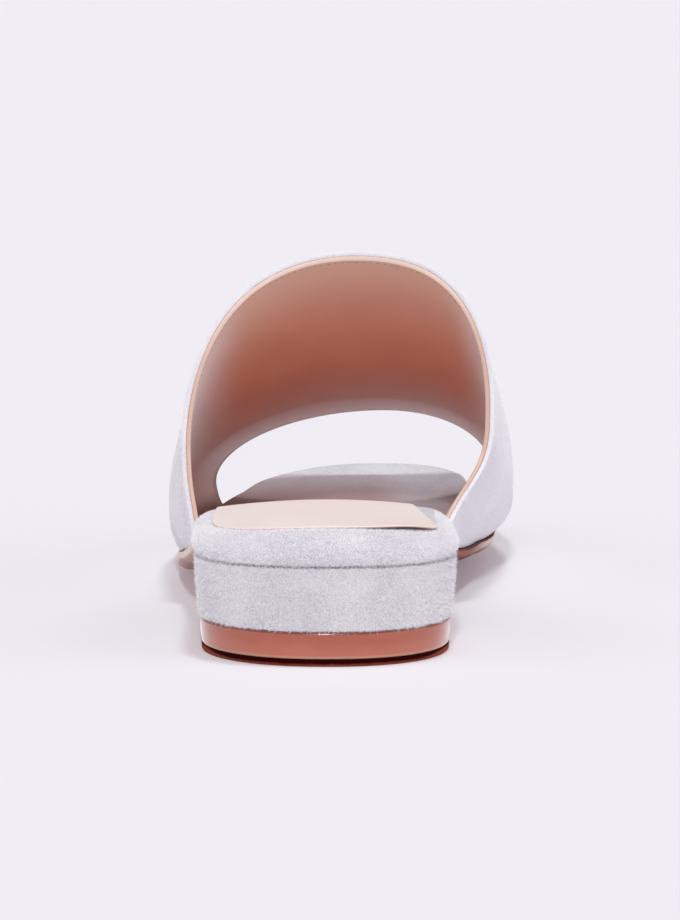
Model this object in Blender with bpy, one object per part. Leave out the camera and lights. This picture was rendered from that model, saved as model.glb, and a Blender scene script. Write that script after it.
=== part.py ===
"""Slide sandal for a left foot, as a Blender model in metres with +Z up.

The sandal stands on the floor at z = 0. Its origin is the middle of the heel tip's underside, +Y runs to
the toe and +X to the inner (medial) side of the foot. Inside the functions a station is the distance from
the back of the heel along +Y. Each table's first row names its columns, and its other rows hold shares of
the named sizes.
"""

import math

import bmesh
import bpy
import numpy as np

MM = 0.001

# Sole outline
LENGTH = 252 * MM
BALL_WIDTH = 84 * MM
HEEL_WIDTH = 63.2 * MM
HEEL_ROUND = 33 * MM
TOE_TIP_OFFSET = 13 * MM

# Heel, from the floor up
TIP_HEIGHT = 1.7 * MM
LIFT_HEIGHT = 6.1 * MM
BLOCK_HEIGHT = 15.1 * MM
BREAST_STATION = 58 * MM
BREAST_HOLLOW = 3 * MM
BREAST_CORNER = 4 * MM
BLOCK_SET_IN = 0.7 * MM
BLOCK_SHOULDER = 1.3 * MM
BLOCK_TAPER = 0.9 * MM
LIFT_TAPER = 0.3 * MM
LIFT_CHAMFER = 0.45 * MM
TIP_SET_IN = 0.4 * MM

# Outsole
OUTSOLE_THICKNESS = 3.1 * MM
OUTSOLE_TOP_CHAMFER = 0.3 * MM
OUTSOLE_BEVEL = 3.2 * MM
OUTSOLE_BEVEL_HEIGHT = 2.1 * MM
TOE_SPRING = 9.7 * MM
EDGE_LIFT = 4.4 * MM
TREAD_FLAT = 30 * MM

# Footbed and sock
SEAT_THICKNESS = 4.9 * MM
FOREFOOT_THICKNESS = 6.6 * MM
SEAT_RIM = 6.0 * MM
FOREFOOT_RIM = 2.2 * MM
SEAT_UNDERCUT = 1.2 * MM
FOREFOOT_UNDERCUT = 0.4 * MM
SEAT_CROWN = 3.0 * MM
SOCK_THICKNESS = 0.6 * MM
SOCK_LENGTH = 88 * MM
SOCK_SET_IN = 7.5 * MM
SOCK_FRONT_ROUND = 24 * MM
SOCK_LATERAL_ROUND = 30 * MM
SOCK_MEDIAL_ROUND = 20 * MM

# Upper
WALL = 2.0 * MM
INSTEP_HEIGHT = 71 * MM
SWELL = 6 * MM
STRAP_SEAT = 1.2 * MM

# Clearance between two pieces that meet
GAP = 0.3 * MM

# Half widths of the sole, as shares of the width at that station. Stations are shares of LENGTH.
PLAN = (
    ("station", "lateral", "medial"),
    (0.00, 0.500, 0.490),
    (0.12, 0.508, 0.490),
    (0.23, 0.512, 0.472),
    (0.31, 0.510, 0.454),
    (0.40, 0.508, 0.453),
    (0.52, 0.497, 0.474),
    (0.64, 0.483, 0.508),
    (0.70, 0.481, 0.535),
    (0.74, 0.481, 0.544),
)

# Stretch where the sole widens from the heel's width to the ball's, as shares of LENGTH.
WIDTH_CHANGE_SHARES = (0.20, 0.66)

# The toe's quarter curves: where each side turns in, as a share of LENGTH, and its superellipse power.
TOE_TURN_SHARE = {"lateral": 0.64, "medial": 0.74}
TOE_POWER = {"lateral": 2.1, "medial": 2.6}

# Superellipse powers of the heel's back: the footbed's is squarer than the lift's.
SEAT_POWER = 2.6
LIFT_POWER = 2.2

# Side line of the footbed's underside: 1 at the heel seat, 0 at the ball. Stations are shares of LENGTH.
SIDE_LINE = (
    ("station", "level"),
    (0.00, 1.00),
    (0.23, 1.00),
    (0.30, 0.88),
    (0.36, 0.67),
    (0.44, 0.46),
    (0.54, 0.28),
    (0.60, 0.12),
    (0.66, 0.00),
    (1.00, 0.00),
)
# The ball's line runs obliquely: this much further forward for each unit towards the medial side.
BALL_SKEW_RATIO = 0.25
SKEW_START_SHARES = (0.36, 0.64)
SPRING_START_SHARE = 0.735
SPRING_POWER = 1.1

# How high the sole's edges stand over its tread, as shares of EDGE_LIFT. Stations are shares of LENGTH.
EDGE_LIFTS = (
    ("station", "lateral", "medial"),
    (0.36, 0.00, 0.00),
    (0.50, 0.24, 0.06),
    (0.64, 0.48, 0.68),
    (0.71, 0.48, 1.00),
    (0.86, 0.48, 0.62),
    (1.00, 0.48, 0.48),
)

# Stretch where the seat's padding ends, as shares of LENGTH.
PADDING_END_SHARES = (0.20, 0.40)

# Height of the footbed's widest line, as a share of its thickness.
BED_WIDEST_SHARE = 0.42

# How far the footbed's edge stands inside the sole's edge, as a share of its set-in beside the strap.
BED_EDGE = (
    ("station", "set_in"),
    (0.00, 0.0),
    (0.24, 0.0),
    (0.36, 1.0),
    (0.87, 1.0),
    (0.93, 0.4),
    (1.00, 0.4),
)

# Half widths of the sock as shares of HEEL_WIDTH. Stations are shares of SOCK_LENGTH.
SOCK_PLAN = (
    ("station", "lateral", "medial"),
    (0.00, 0.410, 0.428),
    (0.20, 0.428, 0.412),
    (0.35, 0.440, 0.385),
    (0.60, 0.435, 0.335),
    (1.00, 0.400, 0.270),
)

# Sections of the upper. ridge: height over the footbed, share of INSTEP_HEIGHT. offset: ridge towards the
# medial side, share of BALL_WIDTH. swell: widest point past the sole, share of SWELL. level: height of the
# widest point, share of the section's height. flare: power of the curve from the foot to the widest point.
UPPER_SECTIONS = (
    ("station", "ridge", "offset", "lateral_swell", "medial_swell", "lateral_level", "medial_level", "flare"),
    (0.360, 1.150, 0.065, 0.10, 1.65, 0.30, 0.43, 2.1),
    (0.420, 1.090, 0.070, 0.12, 1.52, 0.29, 0.43, 2.0),
    (0.475, 1.000, 0.080, 0.08, 1.35, 0.28, 0.43, 1.8),
    (0.600, 0.765, 0.105, 0.35, 1.22, 0.26, 0.40, 1.3),
    (0.700, 0.570, 0.135, 0.45, 0.86, 0.26, 0.36, 1.0),
    (0.780, 0.447, 0.165, 0.35, 0.64, 0.28, 0.34, 1.0),
    (0.820, 0.393, 0.180, 0.35, 0.50, 0.29, 0.34, 1.0),
    (0.880, 0.324, 0.200, 0.35, 0.50, 0.30, 0.34, 1.0),
)
# Share of each side, from foot to ridge, that the curve up to the widest point takes.
FOOT_SHARE = 0.14
TUCK_POWER = 3.6
SHOULDER_POWER = {"lateral": 1.95, "medial": 2.15}

# Edges of the upper, as shares of LENGTH, from its lateral foot (around 0) to its medial foot (around 1).
UPPER_EDGES = (
    ("around", "topline", "toe_edge"),
    (0.00, 0.385, 0.865),
    (0.25, 0.430, 0.838),
    (0.50, 0.475, 0.815),
    (0.75, 0.440, 0.838),
    (0.90, 0.426, 0.854),
    (1.00, 0.362, 0.870),
)

# How the block's taper is spread over its height: above 1, most of it is near the floor.
BLOCK_TAPER_POWER = 1.6

# Edges sharper than this stay sharp in the smooth shading.
SMOOTH_ANGLE = math.radians(35)

# Facets
OUTLINE_STEPS = 34
CROSS_STEPS = 6
RIM_STEPS = 5
AROUND_STEPS = 44
ALONG_STEPS = 12
CORNER_STEPS = 5
BREAST_STEPS = 8
BLOCK_STEPS = 3
BEVEL_STEPS = 3

# Base colour, roughness
FINISHES = {
    "suede": ((0.70, 0.67, 0.74), 0.95),
    "lining_leather": ((0.80, 0.62, 0.55), 0.55),
    "stacked_leather": ((0.42, 0.17, 0.10), 0.30),
    "sole_leather": ((0.45, 0.24, 0.19), 0.45),
    "rubber": ((0.03, 0.015, 0.015), 0.60),
}


def read(table, name, station):
    """The named column at a station, on a smooth curve that never overshoots the table's rows."""
    at = np.array([row[0] for row in table[1:]])
    column = table[0].index(name)
    values = np.array([row[column] for row in table[1:]])
    steps = np.diff(values) / np.diff(at)
    both = steps[:-1] * steps[1:]
    middle = np.where(both > 0, 2 * both / np.where(both > 0, steps[:-1] + steps[1:], 1), 0)
    slopes = np.concatenate((steps[:1], middle, steps[-1:]))
    station = np.clip(station, at[0], at[-1])
    row = np.clip(np.searchsorted(at, station, side="right") - 1, 0, len(at) - 2)
    span = at[row + 1] - at[row]
    t = (station - at[row]) / span
    start = (1 + 2 * t) * (1 - t) ** 2
    leave = t * (1 - t) ** 2 * span
    end = t * t * (3 - 2 * t)
    arrive = t * t * (t - 1) * span
    return start * values[row] + leave * slopes[row] + end * values[row + 1] + arrive * slopes[row + 1]


def ease(t):
    """Smooth step from 0 to 1."""
    t = np.clip(t, 0.0, 1.0)
    return t * t * (3 - 2 * t)


def ease_over(share, stretch):
    """Smooth step from 0 to 1 over a stretch of shares."""
    return ease((share - stretch[0]) / (stretch[1] - stretch[0]))


def round_off(t, power):
    """Superellipse quarter: 1 at t = 0, 0 at t = 1."""
    return (1 - np.clip(t, 0.0, 1.0) ** power) ** (1 / power)


def spread(count):
    """Shares from 0 to 1, closer together at both ends."""
    return (1 - np.cos(np.linspace(0, math.pi, count))) / 2


def sole_edge(y, side, heel_power=SEAT_POWER):
    """x of the sole's edge on one side: the plan's half width, turned in at the heel and at the toe."""
    sign = -1 if side == "lateral" else 1
    turn = TOE_TURN_SHARE[side] * LENGTH
    flank = np.minimum(y, turn)
    to_ball = ease_over(flank / LENGTH, WIDTH_CHANGE_SHARES)
    width = HEEL_WIDTH + (BALL_WIDTH - HEEL_WIDTH) * to_ball
    x = sign * width * read(PLAN, side, flank / LENGTH)
    x = x * round_off(1 - y / HEEL_ROUND, heel_power)
    forward = (y - turn) / (LENGTH - turn)
    return TOE_TIP_OFFSET + (x - TOE_TIP_OFFSET) * round_off(forward, TOE_POWER[side])


def sole_loop(steps=OUTLINE_STEPS):
    """The sole's outline: heel back, lateral side, toe tip, medial side."""
    y = spread(steps + 1) * LENGTH
    lateral = np.column_stack((sole_edge(y, "lateral"), y))
    medial = np.column_stack((sole_edge(y, "medial"), y))
    return close_loop(lateral, medial)


def close_loop(lateral, medial):
    """One closed loop from two sides that share their first and last points."""
    return np.vstack((lateral, medial[-2:0:-1]))


def inset(loop, distance):
    """The loop moved inwards, square to itself. The loop runs clockwise, seen from above."""
    along = np.roll(loop, -1, axis=0) - np.roll(loop, 1, axis=0)
    along = along / np.linalg.norm(along, axis=1)[:, None]
    inward = np.column_stack((along[:, 1], -along[:, 0]))
    return loop + inward * np.reshape(distance, (-1, 1))


def seat_level():
    """Height of the footbed's underside over the heel."""
    return TIP_HEIGHT + LIFT_HEIGHT + BLOCK_HEIGHT + 3 * GAP


def underside(x, y):
    """Height of the footbed's underside: level over the heel, down the arch, flat at the ball, up at the toe.

    Past the arch both edges lift away from a flat tread in the middle, as a parabola.
    """
    forward = ease_over(y / LENGTH, SKEW_START_SHARES)
    along = y - BALL_SKEW_RATIO * forward * x
    tread_level = OUTSOLE_THICKNESS + GAP
    level = read(SIDE_LINE, "level", along / LENGTH)
    spring = np.clip((y / LENGTH - SPRING_START_SHARE) / (1 - SPRING_START_SHARE), 0, None) ** SPRING_POWER
    from_tread = np.clip(np.abs(x) - TREAD_FLAT / 2, 0, None) / (BALL_WIDTH / 2 - TREAD_FLAT / 2)
    lifts = np.where(x < 0, read(EDGE_LIFTS, "lateral", y / LENGTH), read(EDGE_LIFTS, "medial", y / LENGTH))
    lift = EDGE_LIFT * lifts * from_tread**2
    return tread_level + (seat_level() - tread_level) * level + TOE_SPRING * spring + lift


def over_heel(y):
    """1 over the heel seat, 0 from the waist to the toe."""
    return 1 - ease_over(y / LENGTH, PADDING_END_SHARES)


def bed_thickness(y):
    """Thickness of the padded footbed."""
    return FOREFOOT_THICKNESS + (SEAT_THICKNESS - FOREFOOT_THICKNESS) * over_heel(y)


def bed_top(x, y):
    """Height of the footbed's top, slightly crowned over the heel."""
    crown = SEAT_CROWN * over_heel(y) * (1 - (2 * x / HEEL_WIDTH) ** 2)
    return underside(x, y) + bed_thickness(y) + crown


def bed_loop():
    """The footbed's outline: the sole's own at the heel, set in beside the strap."""
    loop = sole_loop()
    beside_strap = STRAP_SEAT + WALL + GAP
    return inset(loop, read(BED_EDGE, "set_in", loop[:, 1] / LENGTH) * beside_strap)


def upper_point(y, around, inner):
    """A point of the upper's section at a station.

    Each side rises from its foot on the outsole to its widest point as 1 - (1 - t^flare)^tuck, and goes on
    to the ridge as a quarter superellipse. inner moves the whole section inwards by that distance.
    """
    share = y / LENGTH
    lateral = around < 0.5
    along_side = np.where(lateral, around, 1 - around)
    sign = np.where(lateral, -1.0, 1.0)
    edge = np.where(lateral, sole_edge(y, "lateral"), sole_edge(y, "medial"))
    swell = np.where(
        lateral, read(UPPER_SECTIONS, "lateral_swell", share), read(UPPER_SECTIONS, "medial_swell", share)
    )
    level = np.where(
        lateral, read(UPPER_SECTIONS, "lateral_level", share), read(UPPER_SECTIONS, "medial_level", share)
    )
    power = np.where(lateral, SHOULDER_POWER["lateral"], SHOULDER_POWER["medial"])
    foot_x = edge - sign * (STRAP_SEAT + inner)
    wide_x = edge + sign * (swell * SWELL - inner)
    ridge_x = read(UPPER_SECTIONS, "offset", share) * BALL_WIDTH
    foot_z = underside(foot_x, y)
    middle = underside(0 * y, y) + bed_thickness(y)
    ridge_z = middle + read(UPPER_SECTIONS, "ridge", share) * INSTEP_HEIGHT - inner
    wide_z = foot_z + level * (ridge_z + inner - foot_z)
    rise = np.clip(along_side / FOOT_SHARE, 0, 1)
    flare = 1 - (1 - rise ** read(UPPER_SECTIONS, "flare", share)) ** TUCK_POWER
    turn = np.clip((along_side - FOOT_SHARE) / (0.5 - FOOT_SHARE), 0, 1) * math.pi / 2
    above = along_side > FOOT_SHARE
    x_low = foot_x + (wide_x - foot_x) * flare
    z_low = foot_z + (wide_z - foot_z) * rise
    x_high = ridge_x + (wide_x - ridge_x) * np.cos(turn) ** (2 / power)
    z_high = wide_z + (ridge_z - wide_z) * np.sin(turn) ** (2 / power)
    return np.where(above, x_high, x_low), np.where(above, z_high, z_low)


def upper_sheet(inner):
    """Grid of points of the upper's outer or inner face, rows from the topline to the toe edge."""
    around = np.linspace(0, 1, AROUND_STEPS + 1)[None, :]
    along = np.linspace(0, 1, ALONG_STEPS + 1)[:, None]
    topline = read(UPPER_EDGES, "topline", around) * LENGTH
    toe_edge = read(UPPER_EDGES, "toe_edge", around) * LENGTH
    y = topline + (toe_edge - topline) * along
    around = np.broadcast_to(around, y.shape)
    x, z = upper_point(y, around, inner)
    return np.stack((x, y, z), axis=-1)


def material(name):
    """A plain Principled material for one piece."""
    colour, roughness = FINISHES[name]
    made = bpy.data.materials.new(name)
    made.use_nodes = True
    shader = made.node_tree.nodes["Principled BSDF"]
    shader.inputs["Base Color"].default_value = (*colour, 1)
    shader.inputs["Roughness"].default_value = roughness
    return made


def finish(name, bm, finish_name):
    """Turn a bmesh into a smooth object with its faces outwards and the origin under the heel."""
    bmesh.ops.translate(bm, vec=(0, -BREAST_STATION / 2, 0), verts=bm.verts)
    bmesh.ops.recalc_face_normals(bm, faces=bm.faces)
    mesh = bpy.data.meshes.new(name)
    bm.to_mesh(mesh)
    bm.free()
    mesh.shade_smooth()
    mesh.set_sharp_from_angle(angle=SMOOTH_ANGLE)
    mesh.materials.append(material(finish_name))
    made = bpy.data.objects.new(name, mesh)
    bpy.context.scene.collection.objects.link(made)
    return made


def add_ring(bm, loop, z):
    """A ring of vertices over a plan loop, at one height or at a height for each point."""
    heights = np.broadcast_to(z, len(loop))
    return [bm.verts.new((point[0], point[1], height)) for point, height in zip(loop, heights)]


def bridge(bm, low, high):
    """Quads between two rings with the same number of vertices."""
    for k in range(len(low)):
        after = (k + 1) % len(low)
        bm.faces.new((low[k], low[after], high[after], high[k]))


def cover(bm, ring, height):
    """Close a ring whose first and middle vertices are its ends, with rows from side to side."""
    half = len(ring) // 2
    rows = [[ring[0]] * (CROSS_STEPS + 1)]
    for k in range(1, half):
        left = ring[k]
        right = ring[-k]
        row = [left]
        for step in range(1, CROSS_STEPS):
            share = step / CROSS_STEPS
            x = left.co.x + (right.co.x - left.co.x) * share
            y = left.co.y + (right.co.y - left.co.y) * share
            row.append(bm.verts.new((x, y, float(height(np.float64(x), np.float64(y))))))
        row.append(right)
        rows.append(row)
    rows.append([ring[half]] * (CROSS_STEPS + 1))
    for near, far in zip(rows, rows[1:]):
        for step in range(CROSS_STEPS):
            corners = (near[step], near[step + 1], far[step + 1], far[step])
            bm.faces.new(list(dict.fromkeys(corners)))


def heel_loop(set_in, power):
    """D-shaped outline of the heel: the sole's own, with rounded corners at a hollow breast."""
    corner_start = BREAST_STATION - BREAST_CORNER
    y = (1 - np.cos(np.linspace(0, math.pi / 2, OUTLINE_STEPS * 2 // 3))) * corner_start
    sides = []
    for side in ("lateral", "medial"):
        turn = np.linspace(0, math.pi / 2, CORNER_STEPS + 1)[1:]
        outer = sole_edge(np.float64(corner_start), side)
        sign = math.copysign(1, outer)
        corner_x = outer - sign * BREAST_CORNER * (1 - np.cos(turn))
        corner_y = corner_start + BREAST_CORNER * np.sin(turn)
        flank = np.column_stack((sole_edge(y, side, power), y))
        sides.append(np.vstack((flank, np.column_stack((corner_x, corner_y)))))
    lateral, medial = sides
    across = np.linspace(0, 1, BREAST_STEPS + 1)[1:-1]
    breast_x = lateral[-1, 0] + (medial[-1, 0] - lateral[-1, 0]) * across
    breast_y = BREAST_STATION - BREAST_HOLLOW * np.sin(across * math.pi)
    breast = np.column_stack((breast_x, breast_y))
    return inset(np.vstack((lateral, breast, medial[:0:-1])), set_in)


def flat_slab(name, finish_name, rings):
    """A solid with level rings, each (height, set-in, power of the back), and flat ends."""
    bm = bmesh.new()
    made = [add_ring(bm, heel_loop(set_in, power), z) for z, set_in, power in rings]
    for low, high in zip(made, made[1:]):
        bridge(bm, low, high)
    bm.faces.new(made[0])
    bm.faces.new(made[-1])
    return finish(name, bm, finish_name)


def make_heel():
    """Heel tip, top lift and suede-covered block, tapering together to the floor."""
    lift_bottom = TIP_HEIGHT + GAP
    lift_top = lift_bottom + LIFT_HEIGHT
    block_bottom = lift_top + GAP
    block_foot = BLOCK_SET_IN + BLOCK_TAPER
    lift_foot = block_foot + LIFT_TAPER
    tip_foot = lift_foot + TIP_SET_IN
    flat_slab("heel_tip", "rubber", ((0, tip_foot, LIFT_POWER), (TIP_HEIGHT, tip_foot, LIFT_POWER)))
    flat_slab(
        "top_lift",
        "stacked_leather",
        (
            (lift_bottom, lift_foot + LIFT_CHAMFER / 2, LIFT_POWER),
            (lift_bottom + LIFT_CHAMFER, lift_foot, LIFT_POWER),
            (lift_top, block_foot, LIFT_POWER),
        ),
    )
    rings = []
    for share in np.linspace(0, 1, BLOCK_STEPS + 1):
        height = share * (BLOCK_HEIGHT - BLOCK_SHOULDER)
        taper = BLOCK_TAPER * (1 - share) ** BLOCK_TAPER_POWER
        power = LIFT_POWER + (SEAT_POWER - LIFT_POWER) * share
        rings.append((block_bottom + height, BLOCK_SET_IN + taper, power))
    for turn in (math.pi / 4, math.pi / 2):
        height = BLOCK_HEIGHT - BLOCK_SHOULDER * (1 - math.sin(turn))
        shoulder = BLOCK_SHOULDER * (1 - math.cos(turn))
        rings.append((block_bottom + height, BLOCK_SET_IN + shoulder, SEAT_POWER))
    flat_slab("heel_block", "suede", rings)


def outsole_loop():
    """The sole's outline from the breast to the toe, its rear end bowed into the hollow breast."""
    rear = BREAST_STATION - BREAST_HOLLOW + GAP
    corner = BREAST_STATION + GAP
    bow = np.linspace(0, 1, BREAST_STEPS // 2 + 1)[:-1]
    y = corner + np.sin(np.linspace(0, math.pi / 2, OUTLINE_STEPS)) * (LENGTH - corner)
    sides = []
    for side in ("lateral", "medial"):
        edge = sole_edge(np.float64(corner), side)
        bow_y = rear + (corner - rear) * (1 - np.cos(bow * math.pi / 2))
        bow_line = np.column_stack((edge * bow, bow_y))
        sides.append(np.vstack((bow_line, np.column_stack((sole_edge(y, side), y)))))
    return close_loop(*sides)


def make_outsole():
    """Leather outsole whose lower edge is a quarter ellipse, flat under the ball."""
    loop = outsole_loop()

    def bottom(x, y):
        return underside(x, y) - GAP - OUTSOLE_THICKNESS

    def top(x, y):
        return underside(x, y) - GAP

    rings = []
    for turn in np.linspace(-math.pi / 2, 0, BEVEL_STEPS + 1):
        rings.append((OUTSOLE_BEVEL * (1 - math.cos(turn)), OUTSOLE_BEVEL_HEIGHT * (1 + math.sin(turn))))
    rings.append((0, OUTSOLE_THICKNESS - OUTSOLE_TOP_CHAMFER))
    rings.append((OUTSOLE_TOP_CHAMFER, OUTSOLE_THICKNESS))
    bm = bmesh.new()
    made = []
    for set_in, height in rings:
        ring = inset(loop, set_in)
        made.append(add_ring(bm, ring, bottom(ring[:, 0], ring[:, 1]) + height))
    for low, high in zip(made, made[1:]):
        bridge(bm, low, high)
    cover(bm, made[0], bottom)
    cover(bm, made[-1], top)
    return finish("outsole", bm, "sole_leather")


def make_footbed():
    """Padded footbed: its side is two quarter ellipses that meet at the widest line."""
    loop = bed_loop()
    station = loop[:, 1]
    heel = over_heel(station)
    upper_rim = FOREFOOT_RIM + (SEAT_RIM - FOREFOOT_RIM) * heel
    undercut = FOREFOOT_UNDERCUT + (SEAT_UNDERCUT - FOREFOOT_UNDERCUT) * heel
    widest = bed_thickness(station) * BED_WIDEST_SHARE
    bm = bmesh.new()
    made = []
    for turn in np.linspace(-math.pi / 2, 0, BEVEL_STEPS + 1)[:-1]:
        ring = inset(loop, undercut * (1 - math.cos(turn)))
        foot = underside(ring[:, 0], ring[:, 1])
        made.append(add_ring(bm, ring, foot + widest * (1 + math.sin(turn))))
    for turn in np.linspace(0, math.pi / 2, RIM_STEPS + 1):
        ring = inset(loop, upper_rim * (1 - math.cos(turn)))
        foot = underside(ring[:, 0], ring[:, 1]) + widest
        head = bed_top(ring[:, 0], ring[:, 1])
        made.append(add_ring(bm, ring, foot + (head - foot) * math.sin(turn)))
    for below, above in zip(made, made[1:]):
        bridge(bm, below, above)
    cover(bm, made[0], underside)
    cover(bm, made[-1], bed_top)
    return finish("footbed", bm, "suede")


def make_sock():
    """Thin leather sock over the heel seat, rounded at both ends."""
    share = spread(OUTLINE_STEPS * 2 // 3)
    y = SOCK_SET_IN + share * SOCK_LENGTH
    front = round_off(1 - (1 - share) * SOCK_LENGTH / SOCK_FRONT_ROUND, 2)
    sides = []
    for side, sign, corner in (("lateral", -1, SOCK_LATERAL_ROUND), ("medial", 1, SOCK_MEDIAL_ROUND)):
        back = round_off(1 - share * SOCK_LENGTH / corner, SEAT_POWER)
        x = sign * HEEL_WIDTH * read(SOCK_PLAN, side, share) * back * front
        sides.append(np.column_stack((x, y)))
    loop = close_loop(*sides)

    def bottom(x, y):
        return bed_top(x, y) + GAP

    def top(x, y):
        return bed_top(x, y) + GAP + SOCK_THICKNESS

    rim = inset(loop, SOCK_THICKNESS / 2)
    bm = bmesh.new()
    made = [
        add_ring(bm, loop, bottom(loop[:, 0], loop[:, 1])),
        add_ring(bm, loop, bottom(loop[:, 0], loop[:, 1]) + SOCK_THICKNESS / 2),
        add_ring(bm, rim, top(rim[:, 0], rim[:, 1])),
    ]
    for low, high in zip(made, made[1:]):
        bridge(bm, low, high)
    cover(bm, made[0], bottom)
    cover(bm, made[-1], top)
    return finish("sock", bm, "lining_leather")


def make_upper():
    """One-piece strap: an outer and an inner face joined along all four edges."""
    bm = bmesh.new()
    faces = []
    for inner in (0.0, WALL):
        sheet = upper_sheet(inner)
        faces.append([[bm.verts.new(tuple(point)) for point in row] for row in sheet])
    outer, lining = faces
    for sheet in faces:
        for near, far in zip(sheet, sheet[1:]):
            for k in range(AROUND_STEPS):
                bm.faces.new((near[k], near[k + 1], far[k + 1], far[k]))
    rim_out = outline_of(outer)
    rim_in = outline_of(lining)
    bridge(bm, rim_out, rim_in)
    return finish("upper", bm, "suede")


def outline_of(grid):
    """The closed border of a grid of vertices."""
    right = [row[-1] for row in grid[1:-1]]
    left = [row[0] for row in grid[-2:0:-1]]
    return grid[0] + right + grid[-1][::-1] + left


def main():
    """Build the sandal in an empty scene."""
    for leftover in list(bpy.data.objects):
        bpy.data.objects.remove(leftover)
    make_heel()
    make_outsole()
    make_footbed()
    make_sock()
    make_upper()


if __name__ == "__main__":
    main()
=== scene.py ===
import math

import bmesh
import bpy
import numpy as np
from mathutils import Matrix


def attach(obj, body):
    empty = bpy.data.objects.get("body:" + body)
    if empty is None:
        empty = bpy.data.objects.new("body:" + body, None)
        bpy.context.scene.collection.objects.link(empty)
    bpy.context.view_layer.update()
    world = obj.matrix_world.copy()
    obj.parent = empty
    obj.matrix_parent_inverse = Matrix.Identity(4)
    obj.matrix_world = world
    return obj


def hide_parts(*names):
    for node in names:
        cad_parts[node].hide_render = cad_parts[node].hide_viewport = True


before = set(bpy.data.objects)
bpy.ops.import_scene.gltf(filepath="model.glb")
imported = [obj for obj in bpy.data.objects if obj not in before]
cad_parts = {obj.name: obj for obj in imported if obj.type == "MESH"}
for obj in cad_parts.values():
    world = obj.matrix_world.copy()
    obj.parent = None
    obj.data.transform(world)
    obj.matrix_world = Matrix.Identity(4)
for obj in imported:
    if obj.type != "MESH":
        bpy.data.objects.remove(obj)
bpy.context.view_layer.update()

# Looks of the left slide sandal. A station is the distance in metres from the back of the heel. +Y runs to
# the toe, +X to the inner side of the foot. The origin lies on the floor under the middle of the heel tip.

MM = 0.001

# The sandal's own sizes
LENGTH = 252 * MM
BALL_WIDTH = 84 * MM
HEEL_WIDTH = 63.2 * MM
HEEL_ROUND = 33 * MM
TOE_TIP_OFFSET = 13 * MM
TIP_HEIGHT = 1.7 * MM
LIFT_HEIGHT = 6.1 * MM
BLOCK_HEIGHT = 15.1 * MM
BREAST_STATION = 58 * MM
BREAST_HOLLOW = 3 * MM
BREAST_CORNER = 4 * MM
BLOCK_SET_IN = 0.7 * MM
BLOCK_SHOULDER = 1.3 * MM
BLOCK_TAPER = 0.9 * MM
BLOCK_TAPER_POWER = 1.6
LIFT_TAPER = 0.3 * MM
LIFT_CHAMFER = 0.45 * MM
TIP_SET_IN = 0.4 * MM
OUTSOLE_THICKNESS = 3.1 * MM
OUTSOLE_TOP_CHAMFER = 0.3 * MM
OUTSOLE_BEVEL = 3.2 * MM
OUTSOLE_BEVEL_HEIGHT = 2.1 * MM
TOE_SPRING = 9.7 * MM
EDGE_LIFT = 4.4 * MM
TREAD_FLAT = 30 * MM
SEAT_THICKNESS = 4.9 * MM
FOREFOOT_THICKNESS = 6.6 * MM
SEAT_RIM = 6.0 * MM
FOREFOOT_RIM = 2.2 * MM
SEAT_UNDERCUT = 1.2 * MM
FOREFOOT_UNDERCUT = 0.4 * MM
SEAT_CROWN = 3.0 * MM
BED_WIDEST_SHARE = 0.42
SOCK_LENGTH = 88 * MM
SOCK_SET_IN = 7.5 * MM
SOCK_FRONT_ROUND = 24 * MM
SOCK_LATERAL_ROUND = 30 * MM
SOCK_MEDIAL_ROUND = 20 * MM
WALL = 2.0 * MM
INSTEP_HEIGHT = 71 * MM
SWELL = 6 * MM
STRAP_SEAT = 1.2 * MM
GAP = 0.3 * MM
BLOCK_FOOT = TIP_HEIGHT + LIFT_HEIGHT + 2 * GAP
BLOCK_TOP = BLOCK_FOOT + BLOCK_HEIGHT

# Half widths of the sole, as shares of the width at that station. Stations are shares of LENGTH.
PLAN = (
    ("station", "lateral", "medial"),
    (0.00, 0.500, 0.490),
    (0.12, 0.508, 0.490),
    (0.23, 0.512, 0.472),
    (0.31, 0.510, 0.454),
    (0.40, 0.508, 0.453),
    (0.52, 0.497, 0.474),
    (0.64, 0.483, 0.508),
    (0.70, 0.481, 0.535),
    (0.74, 0.481, 0.544),
)
# Stretch where the sole widens from the heel's width to the ball's, as shares of LENGTH.
WIDTH_CHANGE_SHARES = (0.20, 0.66)
# The toe's quarter curves: where each side turns in, as a share of LENGTH, and its superellipse power.
TOE_TURN_SHARE = {"lateral": 0.64, "medial": 0.74}
TOE_POWER = {"lateral": 2.1, "medial": 2.6}
# Superellipse powers of the heel's back: the footbed's is squarer than the lift's.
SEAT_POWER = 2.6
LIFT_POWER = 2.2
# Side line of the footbed's underside: 1 at the heel seat, 0 at the ball. Stations are shares of LENGTH.
SIDE_LINE = (
    ("station", "level"),
    (0.00, 1.00),
    (0.23, 1.00),
    (0.30, 0.88),
    (0.36, 0.67),
    (0.44, 0.46),
    (0.54, 0.28),
    (0.60, 0.12),
    (0.66, 0.00),
    (1.00, 0.00),
)
# The ball's line runs obliquely: this much further forward for each unit towards the medial side.
BALL_SKEW_RATIO = 0.25
SKEW_START_SHARES = (0.36, 0.64)
SPRING_START_SHARE = 0.735
SPRING_POWER = 1.1
PADDING_END_SHARES = (0.20, 0.40)
# How high the sole's edges stand over its tread, as shares of EDGE_LIFT. Stations are shares of LENGTH.
EDGE_LIFTS = (
    ("station", "lateral", "medial"),
    (0.36, 0.00, 0.00),
    (0.50, 0.24, 0.06),
    (0.64, 0.48, 0.68),
    (0.71, 0.48, 1.00),
    (0.86, 0.48, 0.62),
    (1.00, 0.48, 0.48),
)
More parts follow.
